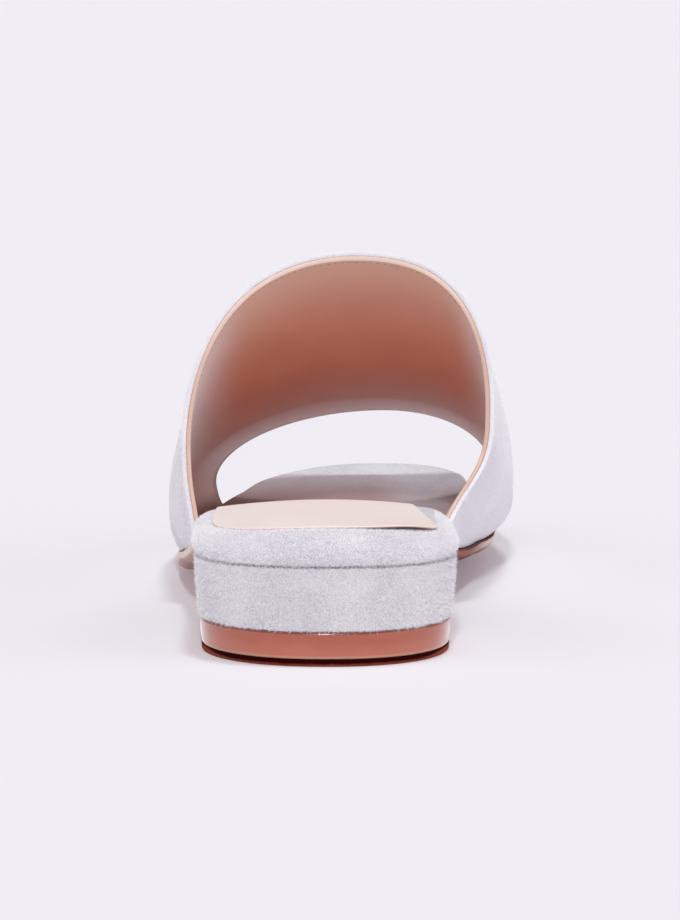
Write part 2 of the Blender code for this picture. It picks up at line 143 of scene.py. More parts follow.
# How far the footbed's edge stands inside the sole's edge, as a share of its set-in beside the strap.
BED_EDGE = (
    ("station", "set_in"),
    (0.00, 0.0),
    (0.24, 0.0),
    (0.36, 1.0),
    (0.87, 1.0),
    (0.93, 0.4),
    (1.00, 0.4),
)
# Half widths of the sock as shares of HEEL_WIDTH. Stations are shares of SOCK_LENGTH.
SOCK_PLAN = (
    ("station", "lateral", "medial"),
    (0.00, 0.410, 0.428),
    (0.20, 0.428, 0.412),
    (0.35, 0.440, 0.385),
    (0.60, 0.435, 0.335),
    (1.00, 0.400, 0.270),
)
# Sections of the upper. ridge: height over the footbed, share of INSTEP_HEIGHT. offset: ridge towards the
# medial side, share of BALL_WIDTH. swell: widest point past the sole, share of SWELL. level: height of the
# widest point, share of the section's height. flare: power of the curve from the foot to the widest point.
UPPER_SECTIONS = (
    ("station", "ridge", "offset", "lateral_swell", "medial_swell", "lateral_level", "medial_level", "flare"),
    (0.360, 1.150, 0.065, 0.10, 1.65, 0.30, 0.43, 2.1),
    (0.420, 1.090, 0.070, 0.12, 1.52, 0.29, 0.43, 2.0),
    (0.475, 1.000, 0.080, 0.08, 1.35, 0.28, 0.43, 1.8),
    (0.600, 0.765, 0.105, 0.35, 1.22, 0.26, 0.40, 1.3),
    (0.700, 0.570, 0.135, 0.45, 0.86, 0.26, 0.36, 1.0),
    (0.780, 0.447, 0.165, 0.35, 0.64, 0.28, 0.34, 1.0),
    (0.820, 0.393, 0.180, 0.35, 0.50, 0.29, 0.34, 1.0),
    (0.880, 0.324, 0.200, 0.35, 0.50, 0.30, 0.34, 1.0),
)
TUCK_POWER = 3.6
SHOULDER_POWER = {"lateral": 1.95, "medial": 2.15}
# Share of each side, from foot to ridge, that the curve up to the widest point takes.
FOOT_SHARE = 0.14
# Edges of the upper, as shares of LENGTH, from its lateral foot (around 0) to its medial foot (around 1).
UPPER_EDGES = (
    ("around", "topline", "toe_edge"),
    (0.00, 0.385, 0.865),
    (0.25, 0.430, 0.838),
    (0.50, 0.475, 0.815),
    (0.75, 0.440, 0.838),
    (0.90, 0.426, 0.854),
    (1.00, 0.362, 0.870),
)

# Looks only: fine edges of the heel and the sole
TIP_EDGE = 0.6 * MM
LIFT_SEAM = 0.08 * MM
LIFT_BELLY = 0.10 * MM
LIFT_TOP_TUCK = 0.25 * MM
# The lift's chamfer, rounded off, as shares of LIFT_CHAMFER
CHAMFER_CURVE = (
    ("rise", "set_in"),
    (0.00, 0.90),
    (0.12, 0.55),
    (0.55, 0.12),
    (1.00, 0.00),
)
BLOCK_TUCK_HEIGHT = 0.12 * MM
BLOCK_TUCK = 0.5 * MM
BLOCK_PROUD = 0.02 * MM
OUTSOLE_STRIP_START = 0.15 * MM

# Looks only: the strap's two skins, and the sock as it lies
SUEDE_SKIN = 1.15 * MM
SKIN_GAP = 0.02 * MM
LIP_DEPTH = 0.30 * MM
LIP_POWER = 0.8
ROLL = 0.35 * MM
ROLL_WIDTH = 2.5 * MM
AROUND_CROWDING = 0.035
SOCK_HEIGHT = 0.5 * MM
SOCK_REST = 0.03 * MM
SOCK_TUCK = 0.05 * MM
SOCK_EDGE_SHARE = 0.35
SOCK_LIFT = 1.4 * MM
SOCK_LIFT_X = 25 * MM
SOCK_LIFT_REACH_X = 13 * MM
SOCK_LIFT_REACH_Y = 10 * MM

# Looks only: stitches. A profile row is a place along half the stitch, and its share of the thickness.
STITCH_LENGTH = 0.85 * MM
STITCH_THICKNESS = 0.20 * MM
STITCH_PITCH = 1.8 * MM
STITCH_INSET = 1.1 * MM
STITCH_SIDES = 8
STITCH_SLANT = 0.16
STITCH_BOW = 0.5
STITCH_SINK = 0.35
STITCHED_STRETCH = (0.02, 0.98)
STITCH_PROFILE = (
    ("place", "thickness"),
    (-1.00, 0.00),
    (-0.86, 0.62),
    (-0.50, 0.95),
    (0.00, 1.00),
    (0.50, 0.95),
    (0.86, 0.62),
    (1.00, 0.00),
)
PROBE = 0.5 * MM

# Looks only: loose fibres. Here lengths and thicknesses are in millimetres. Lean is the random share of a
# fibre's direction.
NAPS = (
    ("name", "count", "length", "thickness", "lean"),
    ("block_nap", 34000, 1.25, 0.17, 0.62),
    ("bed_nap", 30000, 0.95, 0.14, 0.60),
    ("strap_nap", 22000, 0.55, 0.10, 0.50),
    ("topline_nap", 9000, 0.75, 0.12, 0.50),
    ("crease_nap", 5000, 1.2, 0.15, 0.5),
    ("foot_nap", 4000, 1.3, 0.15, 0.5),
)
# The shortest fibre as a share of the longest, and the least that a fibre's direction rises off its face
SHORTEST_FIBRE = 0.4
LEAST_RISE = 0.15
# Where fibres stand, in metres from the origin or from the edge that they stand by
SHOULDER_BARE = 0.1 * MM
CREASE_NAP = 0.9 * MM
FOOT_NAP = 0.4 * MM
UNDER_SOCK_WIDTH = 26 * MM
UNDER_SOCK_START = 4 * MM
UNDER_SOCK_LENGTH = 23.5 * MM
BED_NAP_END = 30 * MM
TOPLINE_FOOT = 69 * MM
TOPLINE_ADVANCE = 22 * MM
TOPLINE_HEIGHT = 88 * MM
TOPLINE_POWER = 1.8
TOPLINE_NAP = 1.2 * MM

# How finely the pieces are divided: points in half an outline, and rings that fill the top
FINENESS = {
    "tip": (260, 2),
    "lift": (300, 2),
    "block": (420, 3),
    "outsole": (560, 10),
    "footbed": (620, 20),
    "sock": (420, 26),
}
STRAP_GRID = (240, 70)
FILL_POWER = 1.4
MERGE_DISTANCE = 0.002 * MM
# Samples along a curve before it is divided evenly
SOLE_SAMPLES = 3000
HEEL_SAMPLES = 2000
CORNER_SAMPLES = 60
BREAST_SAMPLES = 80
BOW_SAMPLES = 200
SOCK_SAMPLES = 2400
TOPLINE_SAMPLES = 4000

# Colours as linear red, green and blue
BLOCK_TONES = ((1.0, 0.985, 1.0), (0.53, 0.505, 0.56))
BED_TONES = ((0.92, 0.90, 0.97), (0.43, 0.41, 0.47))
STRAP_TONES = ((0.84, 0.815, 0.87), (0.72, 0.695, 0.75))
FIBRE_TONES = ((1.0, 0.98, 1.0), (0.84, 0.81, 0.87))
# Painted shade for the footbed under the strap, tinted warm as light bounced off the lining
UNDER_STRAP_PAINTED_SHADE = (0.40, 0.22, 0.22)
SEAM_SHADE = (0.17, 0.08, 0.085)
LINING_TONES = ((0.86, 0.31, 0.185), (0.93, 0.36, 0.225))
# Painted on the lining: light by the topline, sheen at the sides, light bounced in by the toe edge, and shade
# by the sole
LINING_PAINTED_LIGHT_BY_TOPLINE = (0.86, 0.52, 0.40)
LINING_PAINTED_SHEEN_AT_SIDES = (0.95, 0.79, 0.77)
LINING_PAINTED_LIGHT_BY_TOE = (0.95, 0.64, 0.58)
LINING_TOE_STRIP = (0.45, 0.24, 0.21)
LINING_PAINTED_SHADE_BY_SOLE = (0.36, 0.14, 0.12)
CUT_EDGE_TONES = ((0.78, 0.60, 0.52), (0.63, 0.43, 0.35))
CUT_EDGE_LINE = (0.66, 0.33, 0.20)
SOCK_TONES = ((0.90, 0.795, 0.765), (0.93, 0.83, 0.80))
SOCK_TRIM = (0.60, 0.42, 0.36)
# Lift: painted shade darker towards the block and at the head under it; the foot's colour is a painted
# highlight
LIFT_TONES = ((0.45, 0.130, 0.075), (0.38, 0.088, 0.048))
LIFT_FOOT_HIGHLIGHT = (0.56, 0.26, 0.18)
LIFT_HEAD_SHADE = (0.20, 0.03, 0.03)
LIFT_SHEEN = (0.95, 0.88, 0.93)
# Sole edge: the second tones are painted light at the two sides, the round edge's dark tone is painted shade,
# and the head's is painted shade in the gap at its top
STRIP_OWN_AND_LIT = ((0.27, 0.075, 0.060), (0.80, 0.68, 0.62))
ROUND_EDGE_SHADED_AND_LIT = ((0.13, 0.012, 0.008), (0.52, 0.33, 0.29))
SOLE_HEAD_GAP_SHADE = (0.10, 0.020, 0.015)
# The tip's near-black is painted shade in the gap under the lift
TIP_TONES = ((0.020, 0.001, 0.001), (0.26, 0.055, 0.030))
THREAD_BROWN = (0.62, 0.34, 0.25)
PAPER = (0.674, 0.686, 0.723)
PAPER_GLOW = (1.0, 0.80, 0.90)

# Finish: the suede's shader values, ranges of rise where its seams get painted shade, and the stretch of y
# under the strap that gets painted shade, from where it begins over where it is deepest to its end
SUEDE_FINISH = {"Roughness": 0.95, "Specular_IOR_Level": 0.1, "Sheen_Weight": 0.25, "Sheen_Roughness": 0.5}
BLOCK_SEAMS = ((-0.03, -0.01), (0.975, 0.995))
BED_SEAMS = ((0.0, 0.04), (2.0, 3.0))
UNDER_STRAP = (60 * MM, 172 * MM, 209 * MM)
UNDER_STRAP_FADE = 3 * MM
TWIST_SHADE = 0.6

# Studio: heights, turns and spreads in degrees, the rest in metres, and the lens in millimetres
SUNS = (
    ("name", "height", "turn", "spread", "strength"),
    ("key", 37, 2, 4, 1.34),
    ("overhead", 83, -50, 9, 0.88),
    ("left fill", 12, 76, 70, 0.80),
    ("right fill", 12, -76, 70, 1.15),
)
SKY_STRENGTH = 0.34
PAPER_GLOW_STRENGTH = 0.172
FLOOR_REACH = 40.0
CAMERA_PLACE = (0.00295, -1.029, 0.1642)
CAMERA_DROP = 6.585
LENS = 170.5
SENSOR_HEIGHT = 36
NEAREST = 0.01


# Curves of the last


def read(table, name, station):
    """The named column at a station, on a cubic through the rows whose slopes are harmonic means."""
    at = np.array([row[0] for row in table[1:]])
    column = table[0].index(name)
    values = np.array([row[column] for row in table[1:]])
    steps = np.diff(values) / np.diff(at)
    both = steps[:-1] * steps[1:]
    middle = np.where(both > 0, 2 * both / np.where(both > 0, steps[:-1] + steps[1:], 1), 0)
    slopes = np.concatenate((steps[:1], middle, steps[-1:]))
    station = np.clip(station, at[0], at[-1])
    row = np.clip(np.searchsorted(at, station, side="right") - 1, 0, len(at) - 2)
    span = at[row + 1] - at[row]
    t = (station - at[row]) / span
    start = (1 + 2 * t) * (1 - t) ** 2
    leave = t * (1 - t) ** 2 * span
    end = t * t * (3 - 2 * t)
    arrive = t * t * (t - 1) * span
    return start * values[row] + leave * slopes[row] + end * values[row + 1] + arrive * slopes[row + 1]


def ease_over(share, stretch):
    """3t^2 - 2t^3 over a stretch of shares."""
    t = np.clip((share - stretch[0]) / (stretch[1] - stretch[0]), 0, 1)
    return t * t * (3 - 2 * t)


def round_off(t, power):
    """Superellipse quarter: (1 - t^power)^(1/power)."""
    return (1 - np.clip(t, 0, 1) ** power) ** (1 / power)


def sole_edge(y, side, heel_power=SEAT_POWER):
    """x of the sole's edge: half width times a superellipse at the heel, and eased to the tip at the toe."""
    sign = -1 if side == "lateral" else 1
    turn = TOE_TURN_SHARE[side] * LENGTH
    flank = np.minimum(y, turn)
    width = HEEL_WIDTH + (BALL_WIDTH - HEEL_WIDTH) * ease_over(flank / LENGTH, WIDTH_CHANGE_SHARES)
    x = sign * width * read(PLAN, side, flank / LENGTH) * round_off(1 - y / HEEL_ROUND, heel_power)
    forward = (y - turn) / (LENGTH - turn)
    return TOE_TIP_OFFSET + (x - TOE_TIP_OFFSET) * round_off(forward, TOE_POWER[side])


def seat_level():
    """Height of the footbed's underside over the heel."""
    return TIP_HEIGHT + LIFT_HEIGHT + BLOCK_HEIGHT + 3 * GAP


def underside(x, y):
    """Height under the footbed: the side line from seat to ball, toe spring, and a parabola at the edges."""
    forward = ease_over(y / LENGTH, SKEW_START_SHARES)
    along = y - BALL_SKEW_RATIO * forward * x
    tread = OUTSOLE_THICKNESS + GAP
    level = read(SIDE_LINE, "level", along / LENGTH)
    spring = np.clip((y / LENGTH - SPRING_START_SHARE) / (1 - SPRING_START_SHARE), 0, None) ** SPRING_POWER
    from_tread = np.clip(np.abs(x) - TREAD_FLAT / 2, 0, None) / (BALL_WIDTH / 2 - TREAD_FLAT / 2)
    lifts = np.where(x < 0, read(EDGE_LIFTS, "lateral", y / LENGTH), read(EDGE_LIFTS, "medial", y / LENGTH))
    slope = tread + (seat_level() - tread) * level
    return slope + TOE_SPRING * spring + EDGE_LIFT * lifts * from_tread**2


def over_heel(y):
    """1 over the heel seat, 0 from the waist to the toe."""
    return 1 - ease_over(y / LENGTH, PADDING_END_SHARES)


def bed_thickness(y):
    """Thickness of the padded footbed."""
    return FOREFOOT_THICKNESS + (SEAT_THICKNESS - FOREFOOT_THICKNESS) * over_heel(y)


def bed_top(x, y):
    """Height of the footbed's top: its thickness plus a parabolic crown over the heel."""
    crown = SEAT_CROWN * over_heel(y) * (1 - (2 * x / HEEL_WIDTH) ** 2)
    return underside(x, y) + bed_thickness(y) + crown


# Plan loops. Each starts at the heel's back, runs up the lateral side, and comes back down the medial side.


def even(line, count):
    """The same line with count points at even steps of its length."""
    steps = np.linalg.norm(np.diff(line, axis=0), axis=1)
    length = np.concatenate(((0.0,), np.cumsum(steps)))
    at = np.linspace(0, length[-1], count)
    return np.column_stack([np.interp(at, length, line[:, axis]) for axis in range(line.shape[1])])


def loop_of(lateral, medial, half):
    """One closed loop of 2 * half points from two sides that share their first and last points."""
    lateral = even(lateral, half + 1)
    medial = even(medial, half + 1)
    return np.vstack((lateral, medial[-2:0:-1]))


def inset(loop, distance):
    """The loop moved inwards, square to itself."""
    along = np.roll(loop, -1, axis=0) - np.roll(loop, 1, axis=0)
    along = along / np.linalg.norm(along, axis=1)[:, None]
    inward = np.column_stack((along[:, 1], -along[:, 0]))
    return loop + inward * np.reshape(distance, (-1, 1))


def sole_sides(start):
    """Both edges of the sole from a station to the toe tip, finely divided at both ends."""
    y = start + (1 - np.cos(np.linspace(0, math.pi, SOLE_SAMPLES))) / 2 * (LENGTH - start)
    return [np.column_stack((sole_edge(y, side), y)) for side in ("lateral", "medial")]


def bed_loop(half):
    """The footbed's outline: the sole's own at the heel, set in beside the strap."""
    loop = loop_of(*sole_sides(0.0), half)
    return inset(loop, read(BED_EDGE, "set_in", loop[:, 1] / LENGTH) * (STRAP_SEAT + WALL + GAP))


def heel_loop(power, half):
    """D-shaped outline of the heel: the sole's own, round corners, and a breast hollowed as a sine arch."""
    corner = BREAST_STATION - BREAST_CORNER
    y = (1 - np.cos(np.linspace(0, math.pi / 2, HEEL_SAMPLES))) * corner
    turn = np.linspace(0, math.pi / 2, CORNER_SAMPLES)[1:]
    across = np.linspace(0, 0.5, BREAST_SAMPLES)[1:]
    outer = {side: float(sole_edge(np.float64(corner), side)) for side in ("lateral", "medial")}
    middle = (outer["lateral"] + outer["medial"]) / 2
    sides = []
    for side, edge in outer.items():
        sign = math.copysign(1, edge)
        flank = np.column_stack((sole_edge(y, side, power), y))
        bend_x = edge - sign * BREAST_CORNER * (1 - np.cos(turn))
        bend = np.column_stack((bend_x, corner + BREAST_CORNER * np.sin(turn)))
        end = edge - sign * BREAST_CORNER
        hollow = BREAST_STATION - BREAST_HOLLOW * np.sin(across * math.pi)
        breast = np.column_stack((end + (middle - end) * 2 * across, hollow))
        sides.append(np.vstack((flank, bend, breast)))
    return loop_of(*sides, half)


def outsole_loop(half):
    """The sole's outline from the breast to the toe, its rear end bowed into the hollow breast."""
    corner = BREAST_STATION + GAP
    rear = corner - BREAST_HOLLOW
    bow = np.linspace(0, 1, BOW_SAMPLES)[:-1]
    sides = []
    for line in sole_sides(corner):
        bow_y = rear + (corner - rear) * (1 - np.cos(bow * math.pi / 2))
        sides.append(np.vstack((np.column_stack((line[0, 0] * bow, bow_y)), line)))
    return loop_of(*sides, half)


# Skins


def skin(name, rings, marks):
    """A closed mesh over rings of points, rows by columns, with a named value at each point.

    The last column joins the first. Each end ring closes on the line halfway between its points k and -k.
    """
    columns = rings.shape[1]
    other = -np.arange(columns) % columns
    rings = np.concatenate(((rings[:1] + rings[:1, other]) / 2, rings, (rings[-1:] + rings[-1:, other]) / 2))
    index = np.arange(rings.shape[0] * columns).reshape(-1, columns)
    after = np.roll(index, -1, axis=1)
    quads = np.stack((index[:-1], after[:-1], after[1:], index[1:]), axis=-1).reshape(-1, 4)
    points = rings.reshape(-1, 3) - (0, BREAST_STATION / 2, 0)
    values = {}
    for mark, value in marks.items():
        value = np.broadcast_to(value, (rings.shape[0] - 2, columns))
        values[mark] = np.concatenate((value[:1], value, value[-1:])).ravel()
    return mesh_piece(name, points, quads, values)


def mesh_piece(name, points, quads, values=None):
    """A smooth mesh object from arrays of points and quads, with doubles merged and faces outwards."""
    mesh = bpy.data.meshes.new(name)
    mesh.vertices.add(len(points))
    mesh.vertices.foreach_set("co", np.asarray(points, dtype=np.float32).ravel())
    mesh.loops.add(quads.size)
    mesh.loops.foreach_set("vertex_index", quads.ravel().astype(np.int32))
    mesh.polygons.add(len(quads))
    mesh.polygons.foreach_set("loop_start", np.arange(0, quads.size, 4, dtype=np.int32))
    for mark, value in (values or {}).items():
        layer = mesh.attributes.new(mark, "FLOAT", "POINT")
        layer.data.foreach_set("value", value.astype(np.float32))
    mesh.update(calc_edges=True)
    bm = bmesh.new()
    bm.from_mesh(mesh)
    bmesh.ops.remove_doubles(bm, verts=bm.verts, dist=MERGE_DISTANCE)
    bmesh.ops.recalc_face_normals(bm, faces=bm.faces)
    bm.to_mesh(mesh)
    bm.free()
    mesh.shade_smooth()
    return add_object(name, mesh)


def add_object(name, data):
    """A new object in the scene."""
    made = bpy.data.objects.new(name, data)
    bpy.context.scene.collection.objects.link(made)
    return made


def toward_middle(ring, share):
    """A plan ring drawn in towards the line halfway between its two sides."""
    other = -np.arange(len(ring)) % len(ring)
    middle = (ring + ring[other]) / 2
    return middle + (ring - middle) * share


def plan_solid(name, side_rings, bottom, top, fill, rise):
    """A solid over a plan loop: its underside from the middle out, its side's rings, and its top back in.

    bottom and top are heights as functions of x and y. rise names each side ring's share of the height.
    """

    def level_ring(side_ring, share, height):
        ring = toward_middle(side_ring[:, :2], share)
        return np.column_stack((ring, np.broadcast_to(height(ring[:, 0], ring[:, 1]), len(ring))))

    inward = 1 - np.linspace(0, 1, fill + 1)[1:-1] ** FILL_POWER
    layers = [level_ring(side_rings[0], 0.5, bottom), *side_rings]
    layers += [level_ring(side_rings[-1], share, top) for share in inward]
    marks = np.array([0.0, *rise, *np.ones(len(inward))])[:, None]
    return skin(name, np.array(layers), {"rise": marks})


def level_rings(power, profile, half):
    """Level rings of the heel from a profile of (height, set-in) pairs."""
    loop = heel_loop(power, half)
    return [np.column_stack((inset(loop, set_in), np.full(len(loop), z))) for z, set_in in profile]


def quarter(steps):
    """Angles from 0 to a right angle."""
    return np.linspace(0, math.pi / 2, steps + 1)


# Pieces of the heel


def make_tip():
    """Dark tip: upright side with a worn round lower edge and a small one on top."""
    half, fill = FINENESS["tip"]
    foot = BLOCK_SET_IN + BLOCK_TAPER + LIFT_TAPER
    upper = TIP_SET_IN / 2
    profile = [(TIP_EDGE * (1 - math.sin(t)), foot + TIP_EDGE * (1 - math.cos(t))) for t in quarter(5)[::-1]]
    for t in quarter(4):
        profile.append((TIP_HEIGHT - upper * (1 - math.sin(t)), foot + upper * (1 - math.cos(t))))
    rings = level_rings(LIFT_POWER, profile, half)
    rise = [z / TIP_HEIGHT for z, set_in in profile]
    return plan_solid("heel_tip_rubber", rings, lambda x, y: 0.0, lambda x, y: TIP_HEIGHT, fill, rise)


def make_lift():
    """Polished lift: a rounded chamfer, then a side that leans out to the block with a sine belly."""
    half, fill = FINENESS["lift"]
    bottom = TIP_HEIGHT + LIFT_SEAM
    top = TIP_HEIGHT + GAP + LIFT_HEIGHT
    block_foot = BLOCK_SET_IN + BLOCK_TAPER
    foot = block_foot + LIFT_TAPER
    profile = [(bottom + LIFT_CHAMFER * up, foot + LIFT_CHAMFER * inward) for up, inward in CHAMFER_CURVE[1:]]
    for share in np.linspace(0, 1, 9)[1:]:
        z = bottom + LIFT_CHAMFER + share * (top - bottom - LIFT_CHAMFER)
        belly = LIFT_BELLY * math.sin(share * math.pi)
        profile.append((z, foot - LIFT_TAPER * share - belly))
    profile.append((top, block_foot + LIFT_TOP_TUCK))
    rings = level_rings(LIFT_POWER, profile, half)
    rise = [(z - bottom) / LIFT_HEIGHT for z, set_in in profile]
    return plan_solid("top_lift_leather", rings, lambda x, y: bottom, lambda x, y: top, fill, rise)


def make_block():
    """Suede-covered block: round shoulders, squarer at the top, and a side that tapers down as a power."""
    half, fill = FINENESS["block"]
    foot = BLOCK_SET_IN + BLOCK_TAPER
    profile = [
        (BLOCK_FOOT - BLOCK_TUCK_HEIGHT, foot + BLOCK_TUCK, 0.0),
        (BLOCK_FOOT, foot - BLOCK_PROUD, 0.0),
    ]
    straight = BLOCK_HEIGHT - BLOCK_SHOULDER
    for share in np.linspace(0, 1, 33)[1:]:
        taper = BLOCK_TAPER * (1 - share) ** BLOCK_TAPER_POWER
        profile.append((BLOCK_FOOT + share * straight, BLOCK_SET_IN + taper, share))
    for t in quarter(8)[1:]:
        z = BLOCK_FOOT + straight + BLOCK_SHOULDER * math.sin(t)
        profile.append((z, BLOCK_SET_IN + BLOCK_SHOULDER * (1 - math.cos(t)), 1.0))
    rings = []
    for z, set_in, squarer in profile:
        power = LIFT_POWER + (SEAT_POWER - LIFT_POWER) * squarer
        rings += level_rings(power, ((z, set_in),), half)
    rise = [(z - BLOCK_FOOT) / BLOCK_HEIGHT for z, set_in, squarer in profile]
    return plan_solid("heel_block_suede", rings, lambda x, y: BLOCK_FOOT, lambda x, y: BLOCK_TOP, fill, rise)


# Sole


def make_outsole():
    """Leather outsole: a round lower edge, an upright strip above it, and a fine chamfer on top."""
    half, fill = FINENESS["outsole"]
    loop = outsole_loop(half)

    def bottom(x, y):
        return underside(x, y) - GAP - OUTSOLE_THICKNESS

    def head(x, y):
        return bottom(x, y) + OUTSOLE_THICKNESS

    profile = []
    for t in quarter(10):
        profile.append((OUTSOLE_BEVEL * (1 - math.sin(t)), OUTSOLE_BEVEL_HEIGHT * (1 - math.cos(t))))
    profile += [
        (0.0, OUTSOLE_BEVEL_HEIGHT + OUTSOLE_STRIP_START),
        (0.0, OUTSOLE_THICKNESS - OUTSOLE_TOP_CHAMFER),
        (OUTSOLE_TOP_CHAMFER, OUTSOLE_THICKNESS),
    ]
    rings = []
    for set_in, height in profile:
        ring = inset(loop, set_in)
        rings.append(np.column_stack((ring, bottom(ring[:, 0], ring[:, 1]) + height)))
    rise = [height / OUTSOLE_THICKNESS for set_in, height in profile]
    return plan_solid("outsole_leather", rings, bottom, head, fill, rise)


def make_footbed():
    """Padded footbed: its side is two quarter ellipses that meet at the widest line."""
    half, fill = FINENESS["footbed"]
    loop = bed_loop(half)
    station = loop[:, 1]
    heel = over_heel(station)
    upper_rim = FOREFOOT_RIM + (SEAT_RIM - FOREFOOT_RIM) * heel
    undercut = FOREFOOT_UNDERCUT + (SEAT_UNDERCUT - FOREFOOT_UNDERCUT) * heel
    widest = bed_thickness(station) * BED_WIDEST_SHARE
    rings = []
    rise = []
    for t in quarter(12)[::-1][:-1]:
        ring = inset(loop, undercut * (1 - math.cos(t)))
        z = underside(ring[:, 0], ring[:, 1]) + widest * (1 - math.sin(t))
        rings.append(np.column_stack((ring, z)))
        rise.append(BED_WIDEST_SHARE * (1 - math.sin(t)))
    for t in quarter(22):
        ring = inset(loop, upper_rim * (1 - math.cos(t)))
        foot = underside(ring[:, 0], ring[:, 1]) + widest
        head = bed_top(ring[:, 0], ring[:, 1])
        rings.append(np.column_stack((ring, foot + (head - foot) * math.sin(t))))
        rise.append(BED_WIDEST_SHARE + (1 - BED_WIDEST_SHARE) * math.sin(t))
    return plan_solid("footbed_suede", rings, underside, bed_top, fill, rise)


def sock_loop(half):
    """The sock's outline: table widths, rounded at the back and at the front."""
    share = (1 - np.cos(np.linspace(0, math.pi, SOCK_SAMPLES))) / 2
    y = SOCK_SET_IN + share * SOCK_LENGTH
    front = round_off(1 - (1 - share) * SOCK_LENGTH / SOCK_FRONT_ROUND, 2)
    sides = []
    for side, sign, corner in (("lateral", -1, SOCK_LATERAL_ROUND), ("medial", 1, SOCK_MEDIAL_ROUND)):
        back = round_off(1 - share * SOCK_LENGTH / corner, SEAT_POWER)
        sides.append(np.column_stack((sign * HEEL_WIDTH * read(SOCK_PLAN, side, share) * back * front, y)))
    return loop_of(*sides, half)


def make_sock():
    """Leather sock that follows the footbed, its inner back corner lifted as a Gaussian bump."""
    half, fill = FINENESS["sock"]
    loop = sock_loop(half)

    def foot(x, y):
        away_x = (x - SOCK_LIFT_X) / SOCK_LIFT_REACH_X
        away_y = (y - SOCK_SET_IN) / SOCK_LIFT_REACH_Y
        lifted = SOCK_LIFT * np.exp(-(away_x**2) - away_y**2)
        return bed_top(x, y) + SOCK_REST + lifted

    low = inset(loop, SOCK_TUCK)
    rings = [np.column_stack((low, foot(low[:, 0], low[:, 1])))]
    rise = [0.0]
    for t in quarter(6):
        ring = inset(loop, SOCK_HEIGHT * (1 - math.cos(t)))
        share = SOCK_EDGE_SHARE + (1 - SOCK_EDGE_SHARE) * math.sin(t)
        rings.append(np.column_stack((ring, foot(ring[:, 0], ring[:, 1]) + SOCK_HEIGHT * share)))
        rise.append(share)
    return plan_solid("heel_sock", rings, foot, lambda x, y: foot(x, y) + SOCK_HEIGHT, fill, rise)


# Strap


def upper_point(y, around, inner):
    """A point of the strap's section: up to its widest point as 1 - (1 - t^flare)^tuck, then a superellipse.

    inner moves the point inwards from the outer face.
    """
    share = y / LENGTH
    lateral = around < 0.5
    along_side = np.where(lateral, around, 1 - around)
    sign = np.where(lateral, -1.0, 1.0)
    edge = np.where(lateral, sole_edge(y, "lateral"), sole_edge(y, "medial"))
    both = {}
    for name in ("swell", "level"):
        outside = read(UPPER_SECTIONS, "lateral_" + name, share)
        inside = read(UPPER_SECTIONS, "medial_" + name, share)
        both[name] = np.where(lateral, outside, inside)
    power = np.where(lateral, SHOULDER_POWER["lateral"], SHOULDER_POWER["medial"])
    foot_x = edge - sign * (STRAP_SEAT + inner)
    wide_x = edge + sign * (both["swell"] * SWELL - inner)
    ridge_x = read(UPPER_SECTIONS, "offset", share) * BALL_WIDTH
    foot_z = underside(foot_x, y)
    middle = underside(0 * y, y) + bed_thickness(y)
    ridge_z = middle + read(UPPER_SECTIONS, "ridge", share) * INSTEP_HEIGHT - inner
    wide_z = foot_z + both["level"] * (ridge_z + inner - foot_z)
    rise = np.clip(along_side / FOOT_SHARE, 0, 1)
    flare = 1 - (1 - rise ** read(UPPER_SECTIONS, "flare", share)) ** TUCK_POWER
    turn = np.clip((along_side - FOOT_SHARE) / (0.5 - FOOT_SHARE), 0, 1) * math.pi / 2
    above = along_side > FOOT_SHARE
    x_low = foot_x + (wide_x - foot_x) * flare
    z_low = foot_z + (wide_z - foot_z) * rise
    x_high = ridge_x + (wide_x - ridge_x) * np.cos(turn) ** (2 / power)
    z_high = wide_z + (ridge_z - wide_z) * np.sin(turn) ** (2 / power)
    x = np.where(above, x_high, x_low)
    z = np.where(above, z_high, z_low)
    return np.stack(np.broadcast_arrays(x, y, z), axis=-1)


def around_shares(count):
    """Shares around the strap, closer together where a side's lower curve meets its upper one."""
    t = np.linspace(0, 1, count)
    return t - AROUND_CROWDING * np.sin(4 * math.pi * t) / math.pi


def strap_layer(name, outer, inner, roll, rows, columns):
    """One skin of the strap, between two depths in its wall.

    Each ring runs over the outer face, round the front lip, and back over the inner face. Both lips are
    superellipses as thick as the skin and LIP_DEPTH deep. The inner face stands further in by the topline,
    by the roll times a Gaussian of the way from it. Marks on each point: its way to the nearest lip in
    millimetres, its depth in the wall, its share around the strap and its share of the way to the toe edge.
    """
    around = around_shares(rows)[:, None]
    topline = read(UPPER_EDGES, "topline", around) * LENGTH
    toe_edge = read(UPPER_EDGES, "toe_edge", around) * LENGTH
    radius = (inner - outer) / 2
    middle = (inner + outer) / 2
    t = quarter(8)
    lip = LIP_DEPTH * (1 - np.cos(t) ** LIP_POWER)
    rounded = radius * np.sin(t) ** LIP_POWER
    span = toe_edge - topline
    face = np.linspace(0, 1, columns)[1:-1]
    near = np.broadcast_to(lip, (rows, len(lip)))
    flat = LIP_DEPTH + (span - 2 * LIP_DEPTH) * face
    far = span - near[:, ::-1]
    along = np.concatenate((near, flat, far), axis=1)
    depth = np.concatenate((rounded, np.full(len(face), radius), rounded[::-1]))
    along = np.concatenate((along, along[:, -2:0:-1]), axis=1)
    thick = depth.max()
    depth = np.concatenate((-depth, depth[-2:0:-1]))
    fuller = roll * np.exp(-((along / ROLL_WIDTH) ** 2)) * (1 + depth / thick) / 2
    depth = middle + depth
    y = topline + along
    around = np.broadcast_to(around, y.shape)
    rings = upper_point(y, around, depth + fuller)
    marks = {
        "edge": np.minimum(along, span - along) / MM,
        "depth": np.broadcast_to(depth / WALL, y.shape),
        "around": around,
        "forward": along / span,
    }
    return skin(name, rings, marks)


